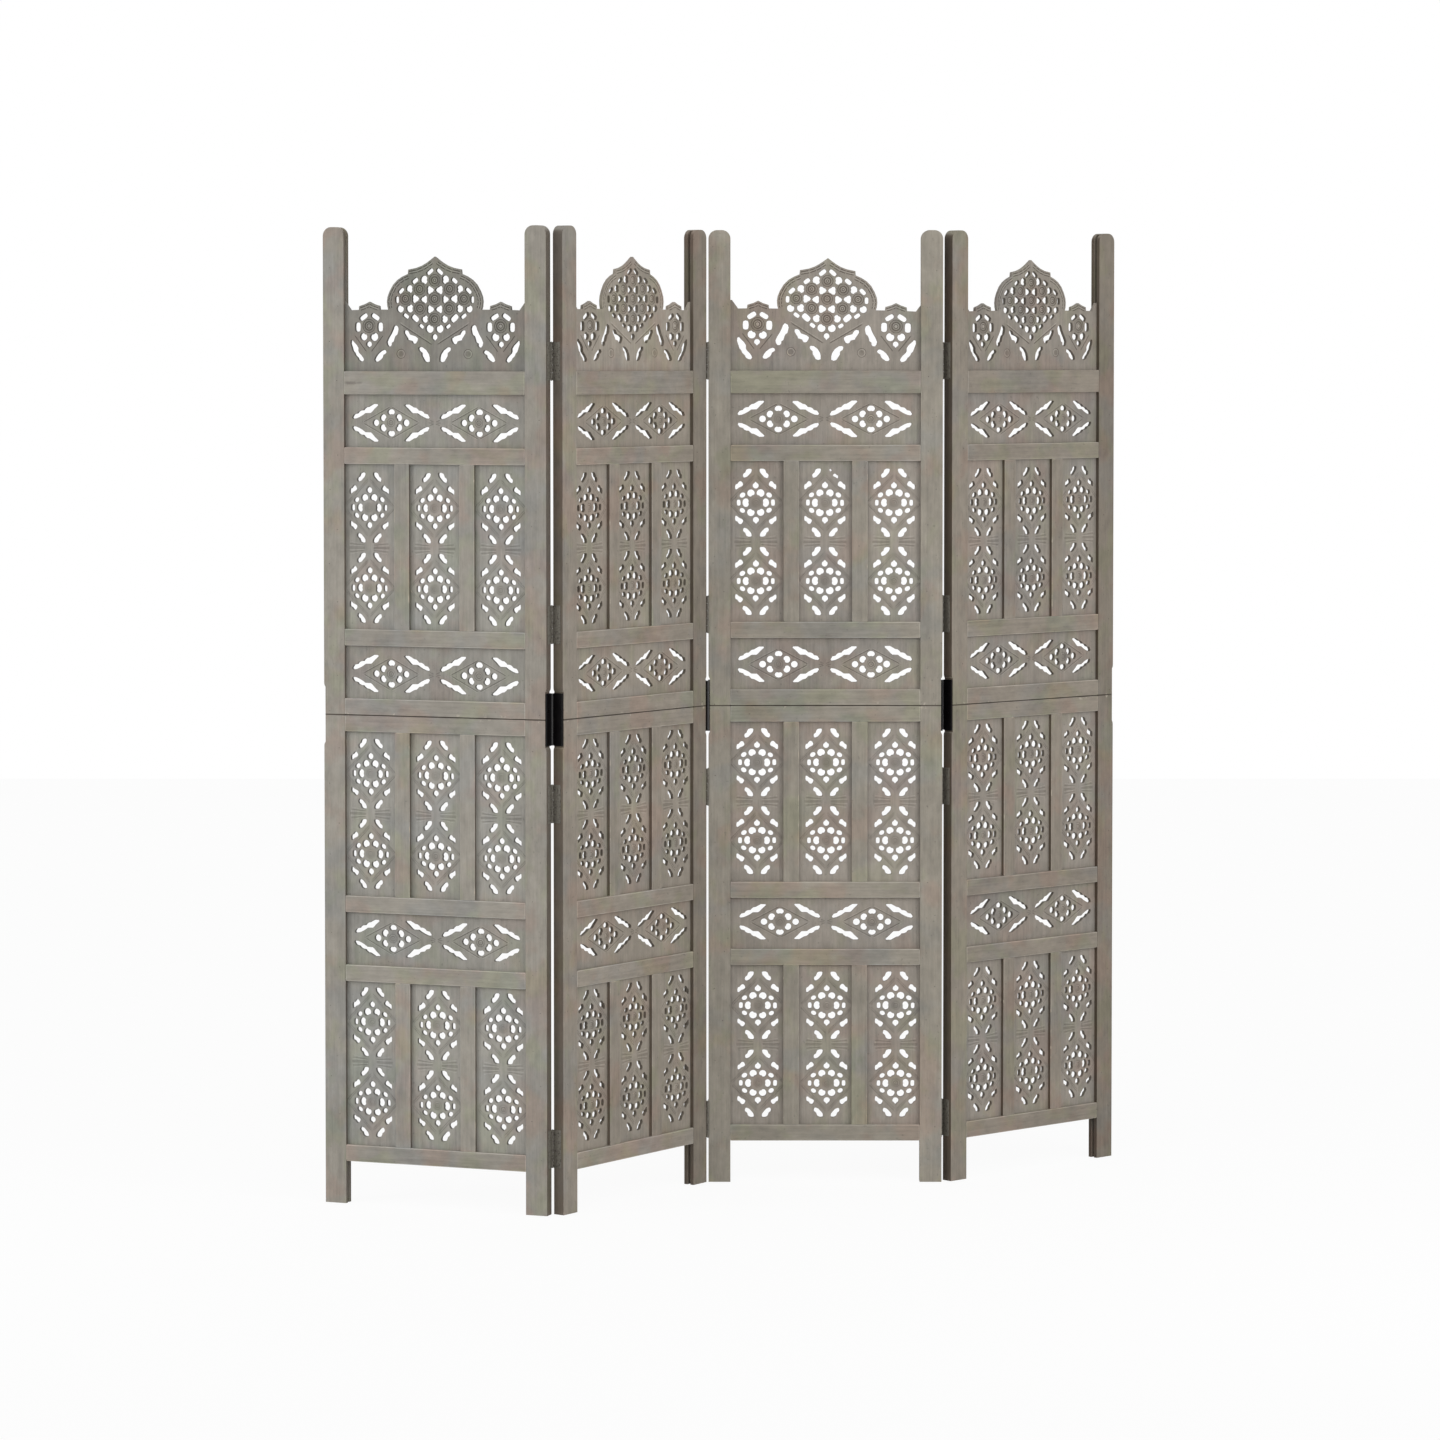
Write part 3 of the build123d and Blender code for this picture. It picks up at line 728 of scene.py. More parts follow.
# %% Leaves
LEAVES = {
    "inner leaf": [
        (-1, 0.75), (-0.83, 1), (-0.23, 1), (0.2, 0.81), (0.38, 0.44), (0.48, 0.13), (0.87, -0.13),
        (1, -0.5), (0.83, -0.94), (0.59, -1), (0.03, -0.78), (-0.48, -0.25), (-0.86, 0.19),
    ],
    "outer leaf": [
        (-1, 0.28), (-0.85, 0.65), (-0.54, 1), (-0.11, 1), (0.21, 0.68), (0.45, 0.37),
        (0.87, 0.23), (1, -0.25), (0.94, -0.85), (0.77, -1), (0.48, -0.88), (0.06, -0.52),
        (-0.58, -0.25), (-0.9, -0.03),
    ],
    "spray": [
        (-1, 0.86), (-0.94, 1), (-0.6, 1), (-0.41, 0.8), (-0.22, 0.59), (-0.05, 0.54), (0.1, 0.31),
        (0.16, 0.14), (0.37, 0.1), (0.52, -0.04), (0.61, -0.27), (0.86, -0.39), (0.96, -0.67),
        (1, -0.84), (0.92, -1), (0.67, -0.93), (0.42, -0.73), (0.2, -0.51), (-0.01, -0.22),
        (-0.26, -0.2), (-0.41, -0.2), (-0.52, -0.04), (-0.73, 0.39), (-0.9, 0.67),
    ],
    "side slot": [
        (-0.99, -0.84), (-0.9, -0.66), (-0.64, -0.42), (-0.25, -0.16), (-0.16, 0), (-0.17, 0.26),
        (0.07, 0.53), (0.51, 0.82), (0.74, 1), (0.96, 0.95), (1, 0.66), (0.81, 0.29),
        (0.66, -0.03), (0.44, -0.18), (0.29, -0.42), (-0.04, -0.63), (-0.19, -0.84),
        (-0.49, -0.97), (-0.79, -1),
    ],
    "tall slot": [
        (-0.97, 0.62), (-0.84, 0.86), (-0.4, 1), (-0.1, 0.81), (0.06, 0.52), (0.36, 0.15),
        (0.74, -0.22), (1, -0.57), (0.91, -0.83), (0.69, -1), (0.34, -0.99), (0.14, -0.86),
        (0.12, -0.65), (-0.18, -0.54), (-0.32, -0.25), (-0.45, -0.04), (-0.78, 0.12), (-0.9, 0.39),
    ],
    "low leaf": [
        (-1, 0.59), (-0.86, 0.92), (-0.54, 1), (-0.04, 0.77), (0.47, 0.29), (0.82, -0.23),
        (1, -0.71), (0.83, -0.99), (0.38, -0.98), (-0.13, -0.61), (-0.38, -0.28), (-0.5, 0.15),
        (-0.84, 0.36),
    ],
    "short slot": [
        (-0.99, -0.18), (-0.69, 0.08), (-0.23, 0.24), (0.11, 0.35), (0.36, 0.83), (0.65, 0.99),
        (0.97, 0.91), (0.99, 0.58), (0.73, 0.12), (0.53, -0.18), (0.5, -0.38), (-0.08, -0.55),
        (-0.23, -0.88), (-0.46, -0.98), (-0.73, -0.88), (-0.95, -0.47),
    ],
    "heart leaf": [
        (-0.99, -0.88), (-0.56, -1), (-0.13, -0.88), (0.42, -0.17), (0.45, 0.22), (0.91, 0.52),
        (0.99, 0.83), (0.79, 0.98), (0.26, 0.95), (-0.41, 0.56), (-0.86, 0.02), (-0.99, -0.4),
    ],
}
print(f"{len(LEAVES)} leaves to carve with")

# %% [markdown]
# ## A motif and its mirror images
#
# Each entry of a motif is a loop or the name of a leaf, its place, its length and width, and the
# way it points, measured from the motif's middle. Jali patterns are symmetrical, so only one
# quarter is written down. An entry on an axis is mirrored once, and any other one three times.
# Hand work isn't exact, so each copy is moved, turned and resized a little, with a seeded random
# number to keep every run alike. How much of each is written once for every kind of loop.


# %% Mirror images
def quarter_turns(x, z, turn, flip):
    """A place and its mirror images, each as (x, z, turn, flip)."""
    found = []
    for side in (1, -1):
        for end in (1, -1):
            if (side == -1 and x == 0) or (end == -1 and z == 0):
                continue
            angle = turn if side == 1 else 180 - turn
            found.append((side * x, end * z, end * angle, side * end * flip))
    return found


def left_and_right(x, z, turn, flip):
    """A place and its mirror image at the other side."""
    other = [] if x == 0 else [(-x, z, 180 - turn, -flip)]
    return [(x, z, turn, flip)] + other


def in_place(x, z, turn, flip):
    """No mirror image."""
    return [(x, z, turn, flip)]


print(f"an entry off the axes makes {len(quarter_turns(1, 1, 0, 1))} loops")

# %% Placing loops in the plate
CHAMFER = 0.5
HOLE = {"slip": 0.3, "tilt": 2.0, "uneven": 0.045, "spare": 2 * CHAMFER}
FINE_HOLE = {"slip": 0.2, "tilt": 1.0, "uneven": 0.04, "spare": 2 * CHAMFER}
MARK = {"slip": 0.2, "tilt": 2.5, "uneven": 0.03}
LINE = {"slip": 0.05, "tilt": 0.2, "uneven": 0.01}


def stand_up(bm, verts, x, z, length, width, turn, flip=1):
    """Sizes and turns a flat loop, and stands it in the plate's front plane."""
    size = Matrix.Diagonal((length / 2, flip * width / 2, 1, 1))
    turned = Matrix.Rotation(math.radians(turn), 4, "Z") @ size
    upright = Matrix.Rotation(math.radians(90), 4, "X") @ turned
    bmesh.ops.transform(bm, matrix=Matrix.Translation((x, FRONT, z)) @ upright, verts=verts)


def loop_edges(verts):
    """The edges between a loop's vertices, in the same order on every run."""
    return list(dict.fromkeys(edge for v in verts for edge in v.link_edges))


def place_all(bm, entries, middle, mirrors, hand, slip, tilt, uneven, spare=0.0, left_out=None):
    """Draws a motif's entries round a middle point, and returns the edges of each loop.

    A hole is drawn larger by the spare that its chamfer takes.
    """
    loops = []
    for shape, x, z, length, width, turn, flip in entries:
        for px, pz, angle, side in mirrors(x, z, turn, flip):
            if (px, pz) == left_out:
                continue
            verts = through_points(bm, LEAVES[shape]) if isinstance(shape, str) else shape(bm)
            at_x = middle[0] + px + hand.uniform(-slip, slip)
            at_z = middle[1] + pz + hand.uniform(-slip, slip)
            grow = 1 + hand.uniform(-uneven, uneven)
            angle += hand.uniform(-tilt, tilt)
            size = (length * grow + spare, width * grow + spare)
            stand_up(bm, verts, at_x, at_z, *size, angle, side)
            loops.append(loop_edges(verts))
    return loops


def draw_motif(bm, loops, motif, middle, mirrors, hand, left_out=None):
    """Draws a motif, row by row: what a row is cut as, its entries, how freely they are placed."""
    for kind, entries, freedom in motif:
        placed = place_all(bm, entries, middle, mirrors, hand, **freedom, left_out=left_out)
        loops.setdefault(kind, []).extend(placed)


print(f"a hole slips by {HOLE['slip']} mm at most, and a carved line by {LINE['slip']} mm")

# %% [markdown]
# ## From loops to a board
#
# The marks need different cuts, written as steps of an inset: how far in, how deep, and the
# finish of the new faces. The grooves are painted darker as shade, and what stands up is painted
# lighter as a highlight. A chip is one slanting step down, and a bead is one step up. A flower, a
# rosette and a ring are discs with rings cut into them. The chamfer and the wall of a hole, and
# the sunk rings of the flowers, are painted darker as the shade inside them.

# %% Cuts
# The bead finish is painted lighter as a highlight; the groove and hollow finishes darker as shade.
FACE, BEAD, GROOVE, DUSK, HOLLOW_SHADE = 0, 1, 2, 3, 4
CHIP_CUT = [(0.4, -0.4, GROOVE)]
BEAD_CUT = [(0.4, 0.3, BEAD)]
FLOWER_CUT = [
    (1.0, -0.6, HOLLOW_SHADE), (0.9, 0.6, BEAD), (1.0, 0.0, FACE), (1.5, -0.7, HOLLOW_SHADE), (1.0, 0.6, BEAD),
    (0.8, -0.2, DUSK),
]
ROSETTE_CUT = [
    (1.2, -0.6, GROOVE), (0.8, 0.6, BEAD), (1.8, 0.0, DUSK), (1.9, -0.8, GROOVE), (1.6, 0.8, BEAD),
    (1.4, -0.5, GROOVE), (0.5, 0.2, BEAD),
]
RING_CUT = [(1.2, -0.5, HOLLOW_SHADE), (1.2, 0.5, BEAD), (1.2, 0.0, FACE), (1.2, -0.5, DUSK)]
CUTS = {
    "chip": CHIP_CUT, "bead": BEAD_CUT, "flower": FLOWER_CUT, "rosette": ROSETTE_CUT,
    "ring": RING_CUT,
}
print(f"{len(CUTS)} kinds of mark: {', '.join(CUTS)}")

# %% The board builder
def cut_marks(bm, loops, steps):
    """Fills each loop with a face and steps it in, each step with its depth and its finish."""
    faces = bmesh.ops.edgeloop_fill(bm, edges=[e for loop in loops for e in loop])["faces"]
    for face in faces:
        face.normal_update()
        if face.normal.y > 0:
            face.normal_flip()
    for inwards, outwards, finish in steps:
        made = bmesh.ops.inset_individual(bm, faces=faces, thickness=inwards, depth=outwards)
        for face in made["faces"] + faces:
            face.material_index = finish


def extruded(bm, edges):
    """Extrudes some edges, and returns the new vertices, edges and faces."""
    made = bmesh.ops.extrude_edge_only(bm, edges=edges)["geom"]
    kinds = (bmesh.types.BMVert, bmesh.types.BMEdge, bmesh.types.BMFace)
    return [[part for part in made if isinstance(part, kind)] for kind in kinds]


def open_holes(bm, loops):
    """Gives each hole a chamfer and a wall to the middle of the board."""
    for loop in loops:
        corners = dict.fromkeys(v for edge in loop for v in edge.verts)
        centre = sum((v.co for v in corners), Vector()) / len(corners)
        span = max((v.co - centre).length for v in corners)
        rim, edges, chamfers = extruded(bm, loop)
        for v in rim:
            v.co += (centre - v.co) * (CHAMFER / span) + Vector((0, CHAMFER, 0))
        ends, _, walls = extruded(bm, edges)
        for v in ends:
            v.co.y = 0
        # Painted shade on the chamfer and wall of each hole.
        for face in chamfers + walls:
            face.material_index = HOLLOW_SHADE


def finish_board(bm, loops):
    """Turns the loops of one board into a closed plate, carved on both faces."""
    edges = [edge for kind in loops.values() for loop in kind for edge in loop]
    how = {"use_beauty": True, "use_dissolve": False, "normal": (0, -1, 0)}
    bmesh.ops.triangle_fill(bm, edges=edges, **how)
    for kind, steps in CUTS.items():
        if kind in loops:
            cut_marks(bm, loops[kind], steps)
    open_holes(bm, loops["hole"])
    for v in extruded(bm, loops["outline"][0])[0]:
        v.co.y = 0
    everything = bm.verts[:] + bm.edges[:] + bm.faces[:]
    front_to_back = {"matrix": Matrix.Identity(4), "axis": "Y"}
    bmesh.ops.mirror(bm, geom=everything, merge_dist=0.001, **front_to_back)
    bmesh.ops.recalc_face_normals(bm, faces=bm.faces)


print("the board builder is ready")

# %% [markdown]
# ## The column jali
#
# A tall narrow board with two motifs, one over the other. Round a small flower lie six holes with
# petals standing into them, then a ring of smaller holes with a drop above and below, and outside
# those, four pairs of leaves on the sides of a diamond. Three carved lines follow the diamond
# between the holes and the leaves, and a sheaf of lines fills the waist between the two motifs.

# %% Column motif
COLUMN_WIDTH = 91.5
COLUMN_HEIGHT = 278.0
COLUMN_PITCH = 135.5
JALI_LAP = 6.0

COLUMN_HOLES = [
    (petal_hole, 16.8, 0, 11.4, 14.8, 0, 1),
    (petal_hole, 8.4, 16.7, 13.2, 13.2, 62, 1),
    (hole, 23.1, 13.3, 10.5, 8.0, -36, 1),
    (bar, 29.6, 0, 6.2, 10.8, 0, 1),
    (drop, 0, 29.8, 10.4, 10.4, 90, 1),
    ("outer leaf", 29.0, 29.9, 13.4, 14.2, 0, 1),
    ("inner leaf", 14.6, 50.9, 15.5, 16.0, 0, 1),
]
COLUMN_FLOWER = [(flower, 0, 0, 15.6, 15.6, 0, 1)]
print(f"{len(COLUMN_HOLES)} kinds of hole, and {COLUMN_PITCH} mm from motif to motif")

# %% Carved lines
LINE_HEAD = 1.6
LINE_FOOT = 1.2


def chip_line(start, end, width):
    """A carved line as an entry of a motif."""
    run = Vector(end) - Vector(start)
    middle = (Vector(start) + Vector(end)) / 2
    return (chip, middle.x, middle.y, run.length, width, math.degrees(math.atan2(run.y, run.x)), 1)


def diamond_lines(normal, distances, side, width):
    """One quarter of a diamond's carved lines, from its middle line to the side of the board."""
    entries = []
    for distance in distances:
        outer = Vector((side, (distance - normal.x * side) / normal.y))
        if outer.y < LINE_FOOT:
            outer = Vector(((distance - normal.y * LINE_FOOT) / normal.x, LINE_FOOT))
        inner = Vector((LINE_HEAD, (distance - normal.x * LINE_HEAD) / normal.y))
        entries.append(chip_line(inner, outer, width))
    return entries


COLUMN_LINE = 0.9
COLUMN_NORMAL = Vector((0.722, 0.692))
COLUMN_SIDE = COLUMN_WIDTH / 2 + 0.5
COLUMN_CHIPS = diamond_lines(COLUMN_NORMAL, (32.2, 35.0), COLUMN_SIDE, COLUMN_LINE)
COLUMN_BEADS = diamond_lines(COLUMN_NORMAL, (33.6,), COLUMN_SIDE, COLUMN_LINE)
SHEAF_CHIPS = [
    chip_line((7.5, 1.0), (38.0, 1.0), COLUMN_LINE),
    chip_line((8.5, 4.6), (36.0, 7.0), COLUMN_LINE),
]
SHEAF_BEADS = [
    chip_line((7.5, 2.8), (37.0, 4.0), COLUMN_LINE),
    chip_line((20.0, 8.0), (35.0, 10.4), COLUMN_LINE),
]
print(f"its sheaf has {len(SHEAF_CHIPS)} cut lines and {len(SHEAF_BEADS)} raised ones a quarter")

# %% [markdown]
# ## One broken leaf
#
# Such thin wood breaks now and then. In one board, the wood beside a leaf has cracked: the leaf has
# become a small lower hole and a pinhole over it. The board is the same one, with that leaf left
# out and the two smaller holes put in, because small faults make a crafted thing look real.

# %% Column boards
BROKEN_LEAF = (14.6, 50.9)
BROKEN_REST = [
    ("outer leaf", 18.2, 46.0, 9.0, 8.2, 0, 1),
    (hole, 9.6, 56.4, 4.4, 2.8, 120, 1),
]
COLUMN_PIERCING = [("hole", COLUMN_HOLES, HOLE)]
BROKEN_PIERCING = [("hole", BROKEN_REST, FINE_HOLE)]
COLUMN_CARVING = [
    ("chip", COLUMN_CHIPS, LINE), ("bead", COLUMN_BEADS, LINE), ("flower", COLUMN_FLOWER, MARK),
]
SHEAF = [("chip", SHEAF_CHIPS, LINE), ("bead", SHEAF_BEADS, LINE)]


def outline_through(bm, points):
    """A board's outline, in its front plane."""
    verts = through_points(bm, points)
    stand_up(bm, verts, 0, 0, 2, 2, 0)
    return [loop_edges(verts)]


def plain_outline(bm, width, height):
    """The outline of a four-sided board, with the lap that sits in the grooves."""
    x, z = width / 2 + JALI_LAP, height / 2 + JALI_LAP
    return outline_through(bm, [(-x, -z), (x, -z), (x, z), (-x, z)])


def column_board(seed, broken=False, slip=(0, 0)):
    """One column jali, round its own middle, with its pattern a little out of the middle."""
    bm, hand = bmesh.new(), random.Random(seed)
    loops = {"outline": plain_outline(bm, COLUMN_WIDTH, COLUMN_HEIGHT)}
    for level in (-COLUMN_PITCH / 2, COLUMN_PITCH / 2):
        middle = (slip[0], slip[1] + level)
        spoilt = BROKEN_LEAF if broken and level > 0 else None
        draw_motif(bm, loops, COLUMN_PIERCING, middle, quarter_turns, hand, spoilt)
        if spoilt:
            draw_motif(bm, loops, BROKEN_PIERCING, middle, in_place, hand)
        draw_motif(bm, loops, COLUMN_CARVING, middle, quarter_turns, hand)
    draw_motif(bm, loops, SHEAF, slip, quarter_turns, hand)
    finish_board(bm, loops)
    return bm


trial = column_board(1)
print(f"a column board has {len(trial.faces)} faces")
trial.free()

# %% [markdown]
# ## The band jali
#
# A low wide board with two motifs side by side. The flower has round holes about it, and four long
# leaves curl away from it to the middle of the board and to its ends. Two carved lines make a flat
# diamond round the flower, and a few short ones cross in the middle of the board.

# %% Band boards
OPENING_WIDTH = 328.5
BAND_HEIGHT = 89.0
BAND_PITCH = 160.0

BAND_HOLES = [
    (petal_hole, 0, 17.9, 10.4, 13.6, 90, 1),
    (petal_hole, 14.3, 8.5, 11.6, 12.6, 30, 1),
    (hole, 27.4, 0, 12.0, 12.0, 0, 1),
    ("spray", 47.2, 18.8, 46.6, 24.2, 0, 1),
]
BAND_FLOWER = [(flower, 0, 0, 15.6, 15.6, 0, 1)]
BAND_NORMAL = Vector((0.465, 0.885))
BAND_LINE = 1.1
BAND_MIDDLE = [chip_line((2.0, 1.6), (9.0, 4.4), 0.9), chip_line((3.5, 0), (11.0, 0), 0.9)]
BAND_MOTIF = [
    ("hole", BAND_HOLES, FINE_HOLE),
    ("chip", diamond_lines(BAND_NORMAL, (24.0,), OPENING_WIDTH / 2, BAND_LINE), LINE),
    ("bead", diamond_lines(BAND_NORMAL, (25.6,), OPENING_WIDTH / 2, BAND_LINE), LINE),
    ("flower", BAND_FLOWER, MARK),
]


def band_board(seed, slip=(0, 0)):
    """One band jali, round its own middle, with its pattern a little out of the middle."""
    bm, hand = bmesh.new(), random.Random(seed)
    loops = {"outline": plain_outline(bm, OPENING_WIDTH, BAND_HEIGHT)}
    for across in (-BAND_PITCH / 2, BAND_PITCH / 2):
        draw_motif(bm, loops, BAND_MOTIF, (slip[0] + across, slip[1]), quarter_turns, hand)
    draw_motif(bm, loops, [("chip", BAND_MIDDLE, LINE)], slip, quarter_turns, hand)
    finish_board(bm, loops)
    return bm


trial = band_board(1)
print(f"a band board has {len(trial.faces)} faces")
trial.free()

# %% [markdown]
# ## The crest
#
# The crest is one board with a free upper edge. In its middle, a dome with an ogee point holds nine
# flowers in a diamond, with three-lobed holes between them and a rim of small slits. A larger
# flower stands under each side crest, and slanted leaves fill the board below. Only the right half
# is written down. Heights are above the crest rail.

# %% Crest outline and flowers
CREST_EDGE = [
    (7, 188.8), (14, 183.9), (22.6, 179), (33, 175.2), (47.8, 172.4), (48.6, 165), (58, 161),
    (67.5, 155.2), (75.8, 146.8), (82, 136), (85.6, 127), (86.7, 119), (86, 111), (84.5, 105.5),
    (100, 105.5), (100.8, 111.5), (111, 114.6), (119, 118.5), (127, 114.6), (137.5, 111.2),
    (138.3, 105), (153.5, 104.5), (157.5, 110), (164.25, 119),
]
CREST_APEX = 194.0
CREST_FLOWERS = [
    (disc, 0, 154.5, 20.6, 20.6, 0, 1),
    (disc, 27.2, 140.0, 20.6, 20.6, 0, 1),
    (disc, 0, 123.5, 20.6, 20.6, 0, 1),
    (disc, 53.3, 123.5, 20.6, 20.6, 0, 1),
    (disc, 26.5, 107.5, 20.6, 20.6, 0, 1),
    (disc, 0, 89.5, 20.6, 20.6, 0, 1),
    (disc, 119.4, 78.0, 23.6, 23.6, 0, 1),
]
CREST_RINGS = [(disc, 61.0, 31.5, 16.0, 16.0, 0, 1)]
print(f"the crest rises {CREST_APEX} mm over its rail")

# %% Crest holes
CREST_HOLES = [
    (clover, 8.8, 138.0, 12.5, 12.9, 180, 1),
    (clover, 18.8, 122.3, 11.5, 12.2, 0, 1),
    (clover, 35.7, 123.3, 12.5, 13.0, 180, 1),
    (clover, 8.4, 106.0, 12.0, 12.3, 180, 1),
    (twin_hole, 18.9, 155.2, 13.6, 14.4, 0, 1),
    (twin_hole, 45.4, 139.8, 13.0, 13.8, 0, 1),
    (twin_hole, 45.1, 107.3, 12.8, 13.5, 0, -1),
    (twin_hole, 17.7, 89.8, 12.6, 13.3, 0, -1),
    (bar, 8.8, 168.6, 14.0, 6.8, -40, 1),
    (bar, 35.7, 153.6, 12.2, 7.1, -38, 1),
    (bar, 61.1, 136.8, 12.7, 6.8, -44, 1),
    (bar, 68.2, 121.8, 6.2, 11.9, 0, 1),
    (petal_hole, 62.6, 106.6, 12.2, 12.4, -62, 1),
    (bar, 52.3, 94.7, 11.4, 6.4, 35, 1),
    (bar, 35.6, 90.9, 15.4, 9.7, 42, 1),
    (bar, 24.4, 77.6, 10.0, 6.2, 35, 1),
    (petal_hole, 9.0, 73.4, 13.8, 14.2, -60, 1),
    (drop, 0, 59.2, 10.2, 9.7, -90, 1),
    (bar, 108.4, 93.0, 16.0, 8.0, 31, 1),
    (bar, 129.8, 92.8, 17.2, 8.5, -34, 1),
    (bar, 99.0, 76.3, 9.9, 15.8, 0, 1),
    (bar, 140.0, 76.0, 9.9, 16.0, 0, 1),
    (petal_hole, 110.0, 59.7, 13.8, 14.2, 242, 1),
    (petal_hole, 129.2, 59.9, 13.4, 13.6, -62, 1),
    (drop, 119.8, 47.4, 9.8, 10.2, -90, 1),
    ("tall slot", 76.5, 61.7, 21.9, 36.8, 0, 1),
    ("low leaf", 98.8, 28.0, 21.6, 19.4, 0, 1),
    ("side slot", 141.1, 36.0, 25.6, 37.0, 0, 1),
    ("short slot", 43.0, 59.4, 25.8, 23.6, 0, 1),
    ("heart leaf", 19.2, 30.1, 19.9, 25.1, 0, 1),
]
print(f"{len(CREST_HOLES)} holes in half a crest")

# %% [markdown]
# ## Lines of the crest
#
# Straight lines run from the middle of the board up to the dome, and three more follow its free
# edge, two cut and one raised, all the way round the dome and the side crests. Such a border is the
# edge's own points, moved inwards, with one short line from each to the next.

# %% Crest lines
def border_lines(points, inwards, width):
    """A chain of carved lines at one distance inside a part of the crest's free edge."""
    path = [Vector(point) for point in points]
    runs = [(b - a).normalized() for a, b in zip(path, path[1:])]
    corners = []
    for number, point in enumerate(path):
        before = runs[max(0, number - 1)]
        after = runs[min(number, len(runs) - 1)]
        along = (before + after).normalized()
        inside = Vector((along.y, -along.x))
        corners.append(point + inside * inwards / max(0.5, along.dot(after)))
    entries = []
    for a, b in zip(corners, corners[1:]):
        gap = (b - a).normalized() * 0.7
        if (b - a).length > 4:
            entries.append(chip_line(a + gap, b - gap, width))
    return entries


CREST_CHIPS = [
    chip_line((5.0, 46.8), (62.0, 81.1), 1.2),
    chip_line((93.4, 62.0), (115.0, 35.0), 1.2),
    chip_line((145.6, 62.0), (124.2, 35.0), 1.2),
]
CREST_BEADS = [chip_line((5.0, 49.4), (64.0, 84.9), 1.4)]
for edge in (CREST_EDGE[:5], CREST_EDGE[5:14], CREST_EDGE[15:20]):
    CREST_CHIPS += border_lines(edge, 3.4, 1.5) + border_lines(edge, 7.4, 1.4)
    CREST_BEADS += border_lines(edge, 5.4, 1.4)
print(f"{len(CREST_CHIPS)} cut lines and {len(CREST_BEADS)} raised ones in half a crest")

# %% Crest board
CREST_MOTIF = [
    ("hole", CREST_HOLES, FINE_HOLE),
    ("chip", CREST_CHIPS, LINE),
    ("bead", CREST_BEADS, LINE),
    ("rosette", CREST_FLOWERS, MARK),
    ("ring", CREST_RINGS, MARK),
]


def crest_board(seed):
    """The crest, with its middle and the top of its rail at the origin."""
    bm, hand = bmesh.new(), random.Random(seed)
    side = OPENING_WIDTH / 2 + JALI_LAP
    right = CREST_EDGE + [(side, CREST_EDGE[-1][1]), (side, -JALI_LAP)]
    left = [(-x, z) for x, z in reversed(right)]
    loops = {"outline": outline_through(bm, [(0, CREST_APEX)] + right + left)}
    draw_motif(bm, loops, CREST_MOTIF, (0, 0), left_and_right, hand)
    finish_board(bm, loops)
    return bm


trial = crest_board(1)
print(f"a crest has {len(trial.faces)} faces")
trial.free()

# %% [markdown]
# ## Setting the jalis in the panels
#
# A panel's nine column boards become one object, and so do its three band boards, as in the CAD
# model. Each board is made with its own seed, moved to its opening and carried to its panel. The
# new objects stand for the plain CAD plates, and ride on the same bodies.

# %% Places of the jalis
COLUMN_MIDDLES = (83.75, 202.25, 320.75)
COLUMN_LEVELS = (239.0, 662.0, 1113.0)
BAND_LEVELS = (450.5, 901.5, 1324.5)
CREST_BASE = 1408.0
MIDDLE_X = PANEL_WIDTH / 2
MIDDLE_Y = FRAME_THICKNESS / 2
BROKEN_BOARD = (3, 1, 2)
ROW_SLIPS = {
    1: [(1, 2.5), (-1, 0), (-2, -2)],
    2: [(4, 3), (2.5, 3), (-1, -1)],
    3: [(3, 0), (1.5, 0), (-1, -1)],
    4: [(2, 0.5), (1.5, 3), (2, -2)],
}
BAND_SLIPS = {
    1: [(0, 2), (-2, -2.5), (-1, -3)],
    2: [(4.5, 5), (0, 0), (-1, -1)],
    3: [(1.5, 2), (-1, -1.5), (-1.5, 0)],
    4: [(3, 2.5), (1, 0), (0.5, -2)],
}
CREST_SLIPS = {1: (-1.5, -2.5), 2: (1.5, -1), 3: (0.5, 0), 4: (0, -1)}
CREST_LEANS = {1: -0.2, 2: 0.0, 3: -1.0, 4: 0.4}
print(f"{len(COLUMN_MIDDLES) * len(COLUMN_LEVELS)} columns and {len(BAND_LEVELS)} bands a panel")

# %% Pieces from meshes
SOFT_ANGLE = 35


def new_piece(name, bm, finishes, body, nodes=()):
    """Makes an object of a finished mesh, hides the CAD nodes it stands for, and hangs it on its
    body.
    """
    mesh = bpy.data.meshes.new(name)
    bm.to_mesh(mesh)
    bm.free()
    mesh.shade_smooth()
    mesh.set_sharp_from_angle(angle=math.radians(SOFT_ANGLE))
    for finish in finishes:
        mesh.materials.append(finish)
    piece = bpy.data.objects.new(name, mesh)
    bpy.context.scene.collection.objects.link(piece)
    if nodes:
        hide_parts(*nodes)
    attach(piece, body)


def gather(whole, part, matrix=Matrix()):
    """Adds a finished part to a whole, moved by the matrix, and frees the part."""
    bmesh.ops.transform(part, matrix=matrix, verts=part.verts)
    carrier = bpy.data.meshes.new("carrier")
    part.to_mesh(carrier)
    part.free()
    whole.from_mesh(carrier)
    bpy.data.meshes.remove(carrier)


print("parts can be gathered into pieces")

# %% Jalis in place
BAND_SEED = 50
CREST_SEED = 90

